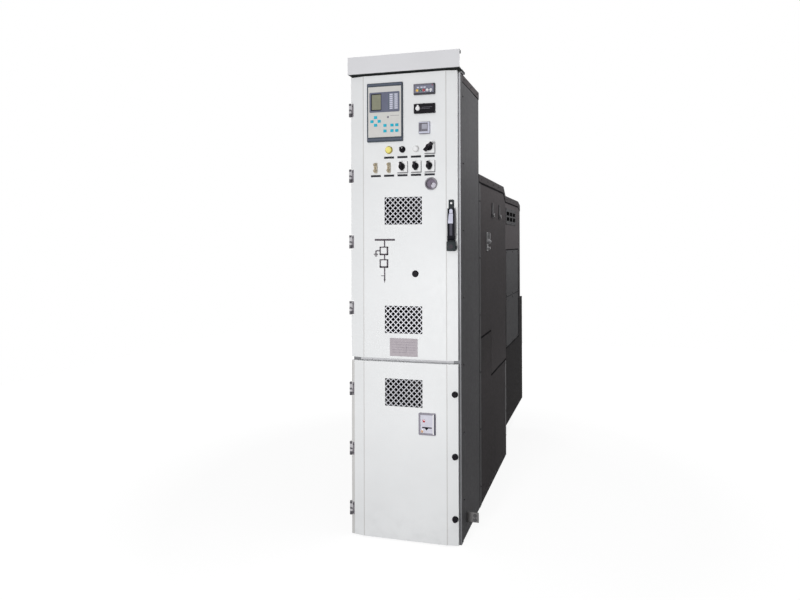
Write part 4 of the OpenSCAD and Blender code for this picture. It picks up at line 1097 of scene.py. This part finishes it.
layer(bm, [(EARTH_X + u, EARTH_Z + v) for u, v in SLIDE_TIP], EARTH_FACE, 1.0, 0.5)
piece("earthing_slide", bm, DEEP, LOWER, smooth=False)
for name, x, z, r, material in (("red", -18, 15, 7.6, RED), ("orange", -27, -39, 6.6, ORANGE)):
    outline = [(r, -0.2), (r, 0.6), (r - 1.2, 1.2), (0, 1.6)]
    bm = bmesh.new()
    turned(bm, at(EARTH_X + x, EARTH_FACE - 0.4, EARTH_Z + z), FORWARD, outline, 28)
    piece("earthing_%s_mark" % name, bm, material, LOWER)


# Door seals behind the pans

SEAL_FRONT, SEAL_BACK, SEAL_W = -5.2, -1.4, 7
for name, body, z0, z1 in (("upper_door_seal", UPPER, 959, 2464), ("lower_door_seal", LOWER, 6, 941)):
    bm = bmesh.new()
    for x in (-288, 282):
        slab(bm, oblong(x, (z0 + z1) / 2, SEAL_W, z1 - z0 - 10, 2), SEAL_FRONT, SEAL_BACK)
    for z in (z0 + 8, z1 - 8):
        slab(bm, oblong(-3, z, 562, SEAL_W, 2), SEAL_FRONT, SEAL_BACK)
    piece(name, bm, RUBBER, body, 0.8)


# Floor, light and camera


def seen_directly(tree):
    """One for rays from the camera and for mirrored and refracted rays, and zero for the rest."""
    rays = tree.nodes.new("ShaderNodeLightPath").outputs
    seen = maths(tree, "MAXIMUM", rays["Is Camera Ray"], rays["Is Glossy Ray"])
    return maths(tree, "MAXIMUM", seen, rays["Is Transmission Ray"])


bpy.ops.mesh.primitive_plane_add(size=11.0, location=(0, 0, 0))
floor = bpy.context.object
floor.name = "floor"
paper = bpy.data.materials.new("floor_paper")
paper.use_nodes = True
tree = paper.node_tree
tree.nodes.remove(tree.nodes["Principled BSDF"])
matt = new(tree, "BsdfDiffuse", {"Color": (0.20, 0.20, 0.20, 1.0)})
reach = new(tree, "VectorMath", {0: place(tree)})
reach.operation = "LENGTH"
far = span(tree, reach.outputs["Value"], 0.88, 1.0, 1.6, 3.4)
lift = new(tree, "Emission", {"Strength": maths(tree, "MULTIPLY", seen_directly(tree), far)})
total = new(tree, "AddShader", {0: matt.outputs[0], 1: lift.outputs[0]})
tree.links.new(total.outputs[0], tree.nodes["Material Output"].inputs["Surface"])
floor.data.materials.append(paper)

AMBIENT = 0.24
world = bpy.data.worlds.new("studio")
bpy.context.scene.world = world
world.use_nodes = True
tree = world.node_tree
strength = maths(tree, "MAXIMUM", seen_directly(tree), AMBIENT)
fill(tree, tree.nodes["Background"], {"Color": (1.0, 1.0, 1.0, 1.0), "Strength": strength})


def softbox(name, spot, aim, size, power):
    """A large soft lamp at a spot, turned to what it lights; sizes in metres, power in watts."""
    lamp = bpy.data.lights.new(name, "AREA")
    lamp.shape = "RECTANGLE"
    lamp.size, lamp.size_y = size
    lamp.energy = power
    obj = bpy.data.objects.new(name, lamp)
    obj.location = spot
    obj.rotation_euler = (Vector(aim) - Vector(spot)).to_track_quat("-Z", "Y").to_euler()
    obj.visible_camera = False
    bpy.context.scene.collection.objects.link(obj)


softbox("key", (-0.5, -5.7, 3.9), (0.0, -0.7, 1.4), (1.4, 2.0), 47.0)
softbox("fill", (-0.25, -4.6, 0.95), (0.0, -0.72, 1.1), (0.9, 1.2), 98.0)
softbox("right_top", (1.35, 0.45, 3.0), (0.3, 0.45, 1.6), (2.6, 0.35), 22.0)
softbox("rear", (-3.4, 4.6, 3.6), (0.0, 0.9, 1.0), (2.4, 2.0), 70.0)

# Camera at the photograph's place; the image is taken as 800 by 600, and its centre line as off the middle
IMAGE_W, IMAGE_H = 800.0, 600.0
FOCAL_PX = 589.3
CENTRE_X, CENTRE_Y = 469.6, 240.3
SENSOR_W = 36.0
TILT, ROLL, YAW = 0.0049, 0.0036, 0.2347
camera = bpy.data.cameras.new("camera")
camera.sensor_fit = "HORIZONTAL"
camera.sensor_width = SENSOR_W
camera.lens = SENSOR_W * FOCAL_PX / IMAGE_W
camera.shift_x = (IMAGE_W / 2 - CENTRE_X) / IMAGE_W
camera.shift_y = (CENTRE_Y - IMAGE_H / 2) / IMAGE_W
camera.clip_end = 200.0
viewer = bpy.data.objects.new("camera", camera)
viewer.location = at(1056.9, -2969.8, 1567.5)
viewer.rotation_euler = (math.pi / 2 + TILT, ROLL, YAW)
bpy.context.scene.collection.objects.link(viewer)
bpy.context.scene.camera = viewer
bpy.context.scene.view_settings.view_transform = "Standard"
